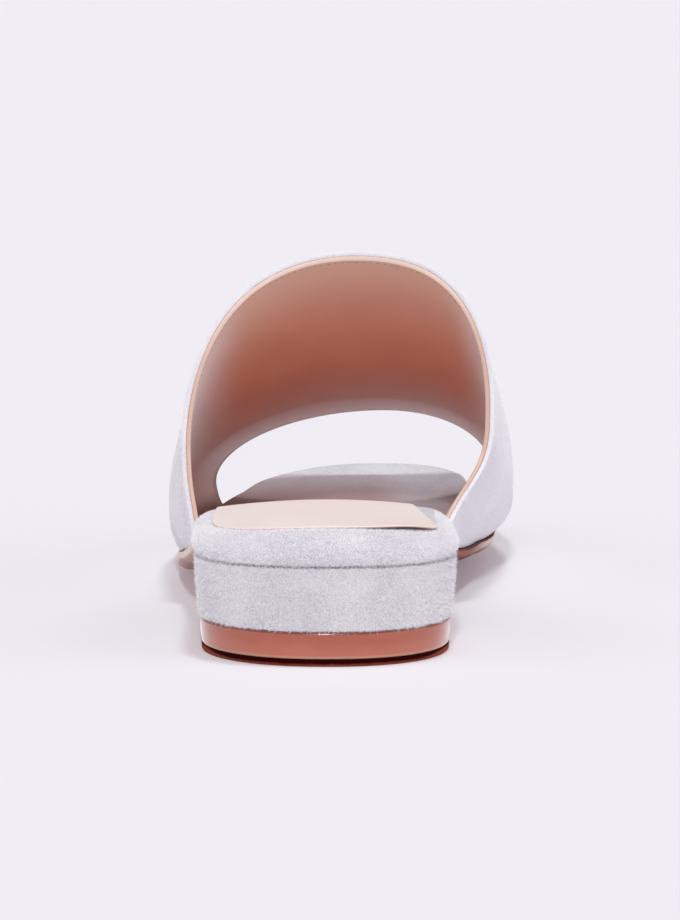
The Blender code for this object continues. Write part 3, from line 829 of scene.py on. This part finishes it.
def make_stitches(name, depth):
    """A row of stitches beside the topline, on the lining: round bars with pointed ends, slanted on the row.

    A bar is bowed as the parabola 1 - place^2.
    """
    fine = np.linspace(*STITCHED_STRETCH, TOPLINE_SAMPLES)
    station = read(UPPER_EDGES, "topline", fine) * LENGTH + STITCH_INSET
    inner = np.full(fine.shape, depth)
    line = upper_point(station, fine, inner)
    steps = np.linalg.norm(np.diff(line, axis=0), axis=1)
    length = np.concatenate(((0.0,), np.cumsum(steps)))
    count = int(length[-1] / STITCH_PITCH)
    at = (np.arange(count) + 0.5) * length[-1] / count

    def on_line(points):
        return np.column_stack([np.interp(at, length, points[:, axis]) for axis in range(3)])

    along = on_line(np.gradient(line, axis=0))
    along /= np.linalg.norm(along, axis=1)[:, None]
    across = on_line(upper_point(station + PROBE, fine, inner) - line)
    out = np.cross(across, along)
    out /= np.linalg.norm(out, axis=1)[:, None]
    centre = on_line(line)
    deeper = on_line(upper_point(station, fine, inner + PROBE) - line)
    out *= np.sign(np.sum(out * deeper, axis=1))[:, None]
    across = np.cross(along, out)
    along = along + STITCH_SLANT * across
    places, thickness = np.array(STITCH_PROFILE[1:]).T
    thick = (thickness * STITCH_THICKNESS / 2)[:, None]
    bend = (1 - places**2) * STITCH_BOW - STITCH_SINK
    turn = np.arange(STITCH_SIDES) * 2 * math.pi / STITCH_SIDES
    height = thick * np.sin(turn) + bend[:, None] * STITCH_THICKNESS / 2
    spots = (
        centre[:, None, None]
        + along[:, None, None] * (places * STITCH_LENGTH / 2)[None, :, None, None]
        + across[:, None, None] * (thick * np.cos(turn))[None, :, :, None]
        + out[:, None, None] * height[None, :, :, None]
    )
    rows, columns = spots.shape[1:3]
    index = np.arange(count * rows * columns).reshape(count, rows, columns)
    after = np.roll(index, -1, axis=2)
    quads = np.stack((index[:, :-1], after[:, :-1], after[:, 1:], index[:, 1:]), axis=-1).reshape(-1, 4)
    return mesh_piece(name, spots.reshape(-1, 3) - (0, BREAST_STATION / 2, 0), quads)


# Loose nap


def numbers_of(items, label, width, kind=np.float32):
    """One property of many mesh items as an array with width numbers a row."""
    values = np.empty(len(items) * width, dtype=kind)
    items.foreach_get(label, values)
    return values.reshape(-1, width)


def scatter_fibres(name, piece, keep, count, length, thickness, lean, seed):
    """Short suede fibres on a piece: three-sided needles from random points of its faces.

    Faces are drawn by area, a root is a bilinear mix of its face's corners, and a needle points along the
    face normal plus a random vector. keep(centres) tells which faces carry fibres.
    """
    rng = np.random.default_rng(seed)
    mesh = piece.data
    spots = numbers_of(mesh.vertices, "co", 3)
    corner_of = numbers_of(mesh.loops, "vertex_index", 1, np.int32)[:, 0]
    start = numbers_of(mesh.polygons, "loop_start", 1, np.int32)[:, 0]
    total = numbers_of(mesh.polygons, "loop_total", 1, np.int32)[:, 0]
    area = numbers_of(mesh.polygons, "area", 1)[:, 0] * keep(numbers_of(mesh.polygons, "center", 3))
    face = rng.choice(len(area), count, p=area / area.sum())
    normal = numbers_of(mesh.polygons, "normal", 3)[face]
    corners = [spots[corner_of[start[face] + np.minimum(k, total[face] - 1)]] for k in range(4)]
    u, v = rng.uniform(0, 1, (2, count, 1))
    root = (corners[0] * (1 - u) + corners[1] * u) * (1 - v) + (corners[3] * (1 - u) + corners[2] * u) * v
    way = normal * (1 - lean) + rng.normal(0, lean, (count, 3))
    way += normal * np.clip(LEAST_RISE - np.sum(way * normal, axis=1, keepdims=True), 0, None)
    way /= np.linalg.norm(way, axis=1)[:, None]
    side = np.cross(way, rng.normal(0, 1, (count, 3)))
    side *= thickness / 2 / np.linalg.norm(side, axis=1)[:, None]
    other = np.cross(way, side)
    turn = np.arange(3) * 2 * math.pi / 3
    base = root[:, None] + side[:, None] * np.cos(turn)[:, None] + other[:, None] * np.sin(turn)[:, None]
    tip = root + way * (length * rng.uniform(SHORTEST_FIBRE, 1.0, (count, 1)))
    points = np.concatenate((base, tip[:, None]), axis=1).reshape(-1, 3)
    needle = np.array(((0, 1, 3), (1, 2, 3), (2, 0, 3), (0, 2, 1)))
    faces = (np.arange(count)[:, None, None] * 4 + needle).reshape(-1, 3)
    fibres = bpy.data.meshes.new(name)
    fibres.from_pydata(points.tolist(), [], faces.tolist())
    fibres.shade_flat()
    return add_object(name, fibres)


# Where fibres stand. Each function tells, for spots in rows of x, y and z, which of them carry fibres.


def off_sock(at):
    """The footbed's rear, outside a superellipse just within the sock's back outline."""
    across = np.abs(at[:, 0]) / UNDER_SOCK_WIDTH
    back = np.clip((UNDER_SOCK_START - at[:, 1]) / UNDER_SOCK_LENGTH, 0, None)
    return (across**SEAT_POWER + back**SEAT_POWER > 1) & (at[:, 1] < BED_NAP_END)


def whole_piece(at):
    """Every spot."""
    return np.ones(len(at), dtype=bool)


def beside_topline(at):
    """The strap by its topline, whose y grows with the height as a power."""
    height = np.clip(at[:, 2], 0, None) / TOPLINE_HEIGHT
    return at[:, 1] < TOPLINE_FOOT + TOPLINE_ADVANCE * height**TOPLINE_POWER + TOPLINE_NAP


def below_shoulder(at):
    """The block without its flat top."""
    return at[:, 2] < BLOCK_TOP - SHOULDER_BARE


def by_crease(at):
    """The block's upper edge, under the footbed."""
    return np.abs(at[:, 2] - BLOCK_TOP + CREASE_NAP) < CREASE_NAP


def by_foot(at):
    """The block's lower edge, over the lift."""
    return at[:, 2] < BLOCK_TOP - BLOCK_HEIGHT + FOOT_NAP


# Shader groups


def new_group(name, inputs, outputs):
    """An empty shader group with named float or vector inputs and float outputs."""
    tree = bpy.data.node_groups.new(name, "ShaderNodeTree")
    for label, kind, value in inputs:
        socket = tree.interface.new_socket(name=label, in_out="INPUT", socket_type=kind)
        if value is not None:
            socket.default_value = value
    for label in outputs:
        tree.interface.new_socket(name=label, in_out="OUTPUT", socket_type="NodeSocketFloat")
    return tree, tree.nodes.new("NodeGroupInput"), tree.nodes.new("NodeGroupOutput")


def noise(tree, vector, scale, detail, roughness=0.5, distortion=0.0):
    """A noise texture whose scale is a number or a socket."""
    node = tree.nodes.new("ShaderNodeTexNoise")
    node.inputs["Detail"].default_value = detail
    node.inputs["Roughness"].default_value = roughness
    node.inputs["Distortion"].default_value = distortion
    set_or_link(tree, node.inputs["Scale"], scale)
    tree.links.new(vector, node.inputs["Vector"])
    return node.outputs["Fac"]


def set_or_link(tree, socket, value):
    """Give a socket a number, or link it to another socket."""
    if isinstance(value, bpy.types.NodeSocket):
        tree.links.new(value, socket)
    else:
        socket.default_value = value


def calc(tree, operation, *values):
    """A math node."""
    node = tree.nodes.new("ShaderNodeMath")
    node.operation = operation
    for socket, value in zip(node.inputs, values):
        set_or_link(tree, socket, value)
    return node.outputs["Value"]


def remap(tree, value, low, high, to_low=0.0, to_high=1.0):
    """A smooth clamped map of a value from one range to another."""
    node = tree.nodes.new("ShaderNodeMapRange")
    node.interpolation_type = "SMOOTHSTEP"
    tree.links.new(value, node.inputs["Value"])
    for socket, number in (("From Min", low), ("From Max", high), ("To Min", to_low), ("To Max", to_high)):
        node.inputs[socket].default_value = number
    return node.outputs["Result"]


def blend_colours(tree, factor, first, second):
    """A colour between two others."""
    node = tree.nodes.new("ShaderNodeMix")
    node.data_type = "RGBA"
    set_or_link(tree, node.inputs["Factor"], factor)
    for socket, value in ((node.inputs["A"], first), (node.inputs["B"], second)):
        set_or_link(tree, socket, value if isinstance(value, bpy.types.NodeSocket) else (*value, 1))
    return node.outputs["Result"]


def suede_nap_group():
    """Nap of suede: short fibres as stretched fine noise, and broad brushed patches."""
    tree, given, result = new_group(
        "suede_nap",
        (
            ("Vector", "NodeSocketVector", None),
            ("Fibre scale", "NodeSocketFloat", 1500.0),
            ("Patch scale", "NodeSocketFloat", 60.0),
        ),
        ("Fibres", "Patches", "Height"),
    )
    vector = given.outputs["Vector"]
    fibre_scale = given.outputs["Fibre scale"]
    fine = noise(tree, vector, fibre_scale, 2.0, 0.7, 2.2)
    finer = noise(tree, vector, calc(tree, "MULTIPLY", fibre_scale, 1.9), 1.0, 0.6, 1.5)
    patches = noise(tree, vector, given.outputs["Patch scale"], 3.0, 0.55, 0.8)
    clumps = noise(tree, vector, calc(tree, "MULTIPLY", fibre_scale, 0.28), 2.0, 0.5, 0.4)
    mixed = calc(tree, "ADD", calc(tree, "MULTIPLY", fine, 0.6), calc(tree, "MULTIPLY", finer, 0.4))
    height = calc(tree, "ADD", mixed, calc(tree, "MULTIPLY", clumps, 0.3))
    tree.links.new(remap(tree, mixed, 0.40, 0.60), result.inputs["Fibres"])
    tree.links.new(remap(tree, patches, 0.3, 0.7), result.inputs["Patches"])
    tree.links.new(height, result.inputs["Height"])
    return tree


def leather_grain_group():
    """Fine leather grain: rounded cells of a Voronoi texture over slow clouds of tone."""
    tree, given, result = new_group(
        "leather_grain",
        (
            ("Vector", "NodeSocketVector", None),
            ("Grain scale", "NodeSocketFloat", 1400.0),
            ("Cloud scale", "NodeSocketFloat", 45.0),
        ),
        ("Grain", "Clouds"),
    )
    cells = tree.nodes.new("ShaderNodeTexVoronoi")
    cells.feature = "SMOOTH_F1"
    cells.inputs["Smoothness"].default_value = 0.6
    tree.links.new(given.outputs["Vector"], cells.inputs["Vector"])
    tree.links.new(given.outputs["Grain scale"], cells.inputs["Scale"])
    clouds = noise(tree, given.outputs["Vector"], given.outputs["Cloud scale"], 4.0, 0.5, 0.5)
    coarser = calc(tree, "MULTIPLY", given.outputs["Grain scale"], 0.5)
    fine = noise(tree, given.outputs["Vector"], coarser, 2.0)
    grain = calc(tree, "ADD", cells.outputs["Distance"], calc(tree, "MULTIPLY", fine, 0.6))
    tree.links.new(grain, result.inputs["Grain"])
    tree.links.new(remap(tree, clouds, 0.3, 0.7), result.inputs["Clouds"])
    return tree


# Materials


def new_material(name, **values):
    """A Principled material, with constant values on the shader's own sockets."""
    made = bpy.data.materials.new(name)
    made.use_nodes = True
    shader = made.node_tree.nodes["Principled BSDF"]
    for label, value in values.items():
        socket = shader.inputs[label.replace("_", " ")]
        socket.default_value = (*value, 1) if isinstance(value, tuple) else value
    return made, made.node_tree, shader


def object_coordinates(tree):
    """Object coordinates in metres."""
    return tree.nodes.new("ShaderNodeTexCoord").outputs["Object"]


def along_axes(tree, vector):
    """A vector's X, Y and Z."""
    node = tree.nodes.new("ShaderNodeSeparateXYZ")
    tree.links.new(vector, node.inputs["Vector"])
    return node.outputs


def point_mark(tree, name):
    """A value that the piece's points carry."""
    node = tree.nodes.new("ShaderNodeAttribute")
    node.attribute_name = name
    return node.outputs["Fac"]


def use_group(tree, group, **values):
    """A group placed in a material with its own values, on Object coordinates."""
    node = tree.nodes.new("ShaderNodeGroup")
    node.node_tree = group
    tree.links.new(object_coordinates(tree), node.inputs["Vector"])
    for label, value in values.items():
        node.inputs[label.replace("_", " ")].default_value = value
    return node


def add_bump(tree, shader, height, strength, distance):
    """Relief of the given depth in metres on the shader's normal."""
    node = tree.nodes.new("ShaderNodeBump")
    node.inputs["Strength"].default_value = strength
    node.inputs["Distance"].default_value = distance
    tree.links.new(height, node.inputs["Height"])
    tree.links.new(node.outputs["Normal"], shader.inputs["Normal"])


def suede_tone(tree, made_nap, fibre_share, tones):
    """Suede's colour from light to dark, by its fibres and, for the rest, its brushed patches."""
    patches = calc(tree, "MULTIPLY", made_nap.outputs["Patches"], 1 - fibre_share)
    tone = calc(tree, "MULTIPLY_ADD", made_nap.outputs["Fibres"], fibre_share, patches)
    light, dark = tones
    return blend_colours(tree, tone, dark, light)


def under_strap_shade(tree):
    """How much painted shade the footbed gets by y under the strap: less to the toe and to the inner side."""
    begin, deepest, end = UNDER_STRAP
    place = along_axes(tree, object_coordinates(tree))
    shade = remap(tree, place["Y"], begin, deepest)
    for other in (
        remap(tree, place["Y"], end - UNDER_STRAP_FADE, end, 1.0, 0.0),
        remap(tree, place["Y"], deepest, end, 1.0, 0.46),
        remap(tree, place["X"], 10 * MM, 27 * MM, 1.0, 0.4),
    ):
        shade = calc(tree, "MULTIPLY", shade, other)
    return shade


def suede(name, nap, fibre_scale, depth, tones, seams):
    """Lilac-grey suede: pale fibres over darker ones in brushed patches, and ragged painted shade along its
    seams.

    Under the strap it gets painted shade, tinted warm as light bounced off the lining.
    """
    made, tree, shader = new_material(name, **SUEDE_FINISH)
    made_nap = use_group(tree, nap, Fibre_scale=fibre_scale, Patch_scale=70.0)
    face = suede_tone(tree, made_nap, 0.8, tones)
    # Painted shade along the seams, its edge made ragged by the fibres
    raggedness = calc(tree, "SUBTRACT", made_nap.outputs["Fibres"], 0.5)
    ragged = calc(tree, "MULTIPLY_ADD", raggedness, 0.02, point_mark(tree, "rise"))
    low, high = seams
    seam = calc(tree, "ADD", remap(tree, ragged, *low, 1.0, 0.0), remap(tree, ragged, *high))
    # Painted shade under the strap, tinted warm as light bounced off the lining
    face = blend_colours(tree, under_strap_shade(tree), face, UNDER_STRAP_PAINTED_SHADE)
    colour = blend_colours(tree, calc(tree, "MINIMUM", seam, 1.0), face, SEAM_SHADE)
    tree.links.new(colour, shader.inputs["Base Color"])
    add_bump(tree, shader, made_nap.outputs["Height"], 0.9, depth)
    return made


def strap_suede(name, nap, tones):
    """The strap's suede, with a finer nap than the heel's."""
    made, tree, shader = new_material(name, **SUEDE_FINISH)
    made_nap = use_group(tree, nap, Fibre_scale=1900.0, Patch_scale=55.0)
    tree.links.new(suede_tone(tree, made_nap, 0.6, tones), shader.inputs["Base Color"])
    add_bump(tree, shader, made_nap.outputs["Height"], 0.7, 0.12 * MM)
    return made


def lining(name, grain):
    """Orange-brown lining leather, with painted light by the topline and by the toe, painted sheen at both
    sides and painted shade by the sole.

    Its cut edge at the topline is peach, with a fine orange line at the outer corner.
    """
    made, tree, shader = new_material(name, Roughness=0.40, Specular_IOR_Level=0.5)
    cells = use_group(tree, grain, Grain_scale=1500.0, Cloud_scale=35.0)
    edge = point_mark(tree, "edge")
    forward = point_mark(tree, "forward")
    off_middle = calc(tree, "ABSOLUTE", calc(tree, "SUBTRACT", point_mark(tree, "around"), 0.5))
    front = calc(tree, "GREATER_THAN", forward, 0.5)
    back = calc(tree, "SUBTRACT", 1.0, front)
    outer = remap(tree, point_mark(tree, "depth"), 0.60, 0.68, 1.0, 0.0)
    # Painted light by the topline, painted sheen at the sides, painted bounce light by the toe edge and
    # painted shade by the sole
    lit_by_topline = remap(tree, forward, 0.0, 0.42, 1.0, 0.0)
    sheen_at_sides = calc(
        tree, "MULTIPLY", remap(tree, off_middle, 0.15, 0.285), remap(tree, forward, 0.45, 0.90, 1.0, 0.35)
    )
    lit_toe_band = calc(tree, "MULTIPLY", front, remap(tree, edge, 4.0, 44.0, 1.0, 0.0))
    toe_strip = calc(tree, "MULTIPLY", front, remap(tree, edge, 0.6, 4.0, 0.85, 0.0))
    shade_by_sole = remap(tree, off_middle, 0.37, 0.46, 0.0, 0.9)
    at_cut = calc(tree, "MULTIPLY", remap(tree, edge, 0.35, 0.75, 1.0, 0.0), back)
    cut_edge = blend_colours(tree, remap(tree, off_middle, 0.12, 0.30), *CUT_EDGE_TONES)
    corner = calc(tree, "MULTIPLY", outer, remap(tree, edge, 0.5, 1.2, 0.8, 0.0))
    face = blend_colours(tree, cells.outputs["Clouds"], *LINING_TONES)
    for share, colour in (
        (lit_by_topline, LINING_PAINTED_LIGHT_BY_TOPLINE),
        (sheen_at_sides, LINING_PAINTED_SHEEN_AT_SIDES),
        (lit_toe_band, LINING_PAINTED_LIGHT_BY_TOE),
        (toe_strip, LINING_TOE_STRIP),
        (shade_by_sole, LINING_PAINTED_SHADE_BY_SOLE),
        (at_cut, cut_edge),
        (corner, CUT_EDGE_LINE),
    ):
        face = blend_colours(tree, share, face, colour)
    tree.links.new(face, shader.inputs["Base Color"])
    add_bump(tree, shader, cells.outputs["Grain"], 0.3, 0.04 * MM)
    return made


def sock_leather(name, grain):
    """Pale peach sock leather, smooth, a little darker along its trimmed edge."""
    made, tree, shader = new_material(name, Roughness=0.45, Specular_IOR_Level=0.35)
    cells = use_group(tree, grain, Grain_scale=1300.0, Cloud_scale=60.0)
    face = blend_colours(tree, cells.outputs["Clouds"], *SOCK_TONES)
    edge = remap(tree, point_mark(tree, "rise"), 0.45, 0.9, 1.0, 0.0)
    tree.links.new(blend_colours(tree, edge, face, SOCK_TRIM), shader.inputs["Base Color"])
    add_bump(tree, shader, cells.outputs["Grain"], 0.3, 0.05 * MM)
    return made


def lift_leather(name, grain):
    """Red-brown polished leather: painted shade under the block, a painted foot highlight, a clear wax coat,
    a pale sheen.
    """
    made, tree, shader = new_material(
        name, Roughness=0.38, Specular_IOR_Level=0.4, Coat_Weight=0.6, Coat_Roughness=0.14, Coat_IOR=1.5,
        Sheen_Weight=1.0, Sheen_Roughness=0.30, Sheen_Tint=LIFT_SHEEN,
    )
    level = point_mark(tree, "rise")
    cells = use_group(tree, grain, Grain_scale=900.0, Cloud_scale=90.0)
    # Painted shade, darker up towards the block, over clouds of tone
    clouds_and_shade = calc(tree, "MULTIPLY_ADD", cells.outputs["Clouds"], 0.25, calc(tree, "SUBTRACT", level, 0.12))
    body = blend_colours(tree, remap(tree, clouds_and_shade, 0.1, 0.85), *LIFT_TONES)
    # A painted highlight on the foot, and painted shade at the head under the block
    body = blend_colours(tree, remap(tree, level, 0.02, 0.16, 1.0, 0.0), body, LIFT_FOOT_HIGHLIGHT)
    body = blend_colours(tree, remap(tree, level, 0.94, 0.98, 0.0, 0.9), body, LIFT_HEAD_SHADE)
    tree.links.new(body, shader.inputs["Base Color"])
    add_bump(tree, shader, cells.outputs["Grain"], 0.12, 0.04 * MM)
    return made


def sole_leather(name, grain):
    """Red-brown sole edge: an upright strip over a round edge painted dark as shade; painted light at both
    sides; painted gap shade on top.
    """
    made, tree, shader = new_material(name, Roughness=0.55, Specular_IOR_Level=0.12)
    level = point_mark(tree, "rise")
    cells = use_group(tree, grain, Grain_scale=900.0, Cloud_scale=80.0)
    across = along_axes(tree, object_coordinates(tree))["X"]
    # Painted light on both sides of the sole's edge
    lit_outside = remap(tree, across, -30 * MM, -10 * MM, 1.0, 0.0)
    pale = calc(tree, "ADD", lit_outside, remap(tree, across, 36 * MM, 45 * MM, 0.0, 0.8))
    strip = blend_colours(tree, pale, *STRIP_OWN_AND_LIT)
    # The round edge painted darker as shade, and lighter at the sides as painted light
    round_edge = blend_colours(tree, pale, *ROUND_EDGE_SHADED_AND_LIT)
    body = blend_colours(tree, remap(tree, level, 0.25, 0.52), round_edge, strip)
    # Painted shade in the gap along the head
    body = blend_colours(tree, remap(tree, level, 0.86, 0.93), body, SOLE_HEAD_GAP_SHADE)
    tree.links.new(body, shader.inputs["Base Color"])
    add_bump(tree, shader, cells.outputs["Grain"], 0.15, 0.05 * MM)
    return made


def tip_rubber(name):
    """Near-black tip, painted shade in the gap under the lift; red-brown towards the floor, and higher up
    where its side faces sideways.
    """
    made, tree, shader = new_material(name, Roughness=0.7, Specular_IOR_Level=0.02)
    grainy = noise(tree, object_coordinates(tree), 900.0, 4.0, 0.6)
    height = calc(tree, "ADD", point_mark(tree, "rise"), calc(tree, "MULTIPLY_ADD", grainy, 0.3, -0.15))
    normal = along_axes(tree, tree.nodes.new("ShaderNodeTexCoord").outputs["Normal"])
    turned = calc(tree, "SUBTRACT", 1.0, calc(tree, "ABSOLUTE", normal["Y"]))
    sides = remap(tree, turned, 0.30, 0.80, 0.0, 0.55)
    # Near-black above is painted shade in the gap under the lift
    red_brown_share = remap(tree, calc(tree, "SUBTRACT", height, sides), 0.10, 0.55, 1.0, 0.0)
    tree.links.new(blend_colours(tree, red_brown_share, *TIP_TONES), shader.inputs["Base Color"])
    add_bump(tree, shader, grainy, 0.3, 0.05 * MM)
    return made


def thread(name, colour):
    """Fine polyester thread with its twist as slanted bands of painted shade."""
    made, tree, shader = new_material(name, Roughness=0.55, Specular_IOR_Level=0.3)
    bands = tree.nodes.new("ShaderNodeTexWave")
    bands.bands_direction = "DIAGONAL"
    bands.inputs["Scale"].default_value = 900.0
    bands.inputs["Distortion"].default_value = 1.5
    tree.links.new(object_coordinates(tree), bands.inputs["Vector"])
    # Darker bands of painted shade in the twist's grooves
    darker = tuple(TWIST_SHADE * part for part in colour)
    tree.links.new(blend_colours(tree, bands.outputs["Fac"], darker, colour), shader.inputs["Base Color"])
    add_bump(tree, shader, bands.outputs["Fac"], 0.4, 0.03 * MM)
    return made


def floor_paper(name):
    """Pale lilac matt paper that glows a little, as on a light table."""
    return new_material(
        name, Base_Color=PAPER, Roughness=1.0, Specular_IOR_Level=0.0,
        Emission_Color=PAPER_GLOW, Emission_Strength=PAPER_GLOW_STRENGTH,
    )[0]


# Assembly


def place(piece, material, slot_name, *nodes):
    """Give a piece its material, ride it on the root body, and let it stand for its nodes. slot_name is not
    used.
    """
    piece.data.materials.append(material)
    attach(piece, "root")
    if nodes:
        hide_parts(*nodes)
    return piece


def make_stage():
    """Level paper floor, wide enough to fill every view."""
    mesh = bpy.data.meshes.new("floor")
    corners = [(x * FLOOR_REACH, y * FLOOR_REACH, 0) for x, y in ((-1, -1), (1, -1), (1, 1), (-1, 1))]
    mesh.from_pydata(corners, [], [(0, 1, 2, 3)])
    made = add_object("floor", mesh)
    made.data.materials.append(floor_paper("floor_paper"))


def add_sun(name, height, turn, spread, strength):
    """Even light from a height above the floor, turned from straight behind the camera, all in degrees."""
    lamp = bpy.data.lights.new(name, "SUN")
    lamp.angle = math.radians(spread)
    lamp.energy = strength
    made = add_object(name, lamp)
    made.rotation_euler = (math.radians(90 - height), 0, math.radians(-turn))
    made.location = (0, -1, 1)


def make_camera():
    """The photograph's view: from behind, a metre away, looking down by 6.6 degrees."""
    lens = bpy.data.cameras.new("camera")
    lens.sensor_fit = "VERTICAL"
    lens.sensor_height = SENSOR_HEIGHT
    lens.lens = LENS
    lens.clip_start = NEAREST
    made = add_object("camera", lens)
    made.location = CAMERA_PLACE
    made.rotation_euler = (math.radians(90 - CAMERA_DROP), 0, 0)
    bpy.context.scene.camera = made


def light_scene():
    """Even pale surroundings, a key light from behind the camera, one overhead, and a fill from each side."""
    world = bpy.data.worlds.new("studio")
    world.use_nodes = True
    sky = world.node_tree.nodes["Background"]
    sky.inputs["Color"].default_value = (1.0, 1.0, 1.0, 1)
    sky.inputs["Strength"].default_value = SKY_STRENGTH
    scene = bpy.context.scene
    scene.world = world
    scene.view_settings.view_transform = "Standard"
    for sun in SUNS[1:]:
        add_sun(*sun)


def main():
    """Dress the sandal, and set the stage."""
    nap = suede_nap_group()
    grain = leather_grain_group()
    block_suede = suede("block_suede", nap, 2700.0, 0.45 * MM, BLOCK_TONES, BLOCK_SEAMS)
    bed_suede = suede("bed_suede", nap, 2500.0, 0.28 * MM, BED_TONES, BED_SEAMS)
    outer_suede = strap_suede("outer_suede", nap, STRAP_TONES)
    fibre_suede = strap_suede("fibre_suede", nap, FIBRE_TONES)
    place(make_tip(), tip_rubber("tip_rubber"), "rubber", "heel_tip")
    place(make_lift(), lift_leather("lift_leather", grain), "stacked_leather", "top_lift")
    block = place(make_block(), block_suede, "suede", "heel_block")
    place(make_outsole(), sole_leather("sole_edge_leather", grain), "sole_leather", "outsole")
    bed = place(make_footbed(), bed_suede, "suede", "footbed")
    place(make_sock(), sock_leather("sock_leather", grain), "lining_leather", "sock")
    outer_skin = strap_layer("strap_suede_skin", 0.0, SUEDE_SKIN, 0.0, *STRAP_GRID)
    strap = place(outer_skin, outer_suede, "suede", "upper")
    inner_skin = strap_layer("strap_lining_skin", SUEDE_SKIN + SKIN_GAP, WALL, ROLL, *STRAP_GRID)
    place(inner_skin, lining("peach_lining", grain), "lining_leather")
    stitch_depth = WALL + ROLL * math.exp(-((STITCH_INSET / ROLL_WIDTH) ** 2))
    stitches = make_stitches("topline_stitches", stitch_depth)
    place(stitches, thread("brown_thread", THREAD_BROWN), "lining_leather")
    carriers = (
        (block, below_shoulder),
        (bed, off_sock),
        (strap, whole_piece),
        (strap, beside_topline),
        (block, by_crease),
        (block, by_foot),
    )
    for seed, ((name, count, length, thickness, lean), (piece, keep)) in enumerate(zip(NAPS[1:], carriers)):
        fibres = scatter_fibres(name, piece, keep, count, length * MM, thickness * MM, lean, seed)
        place(fibres, fibre_suede, "suede")
    make_stage()
    make_camera()
    light_scene()


main()
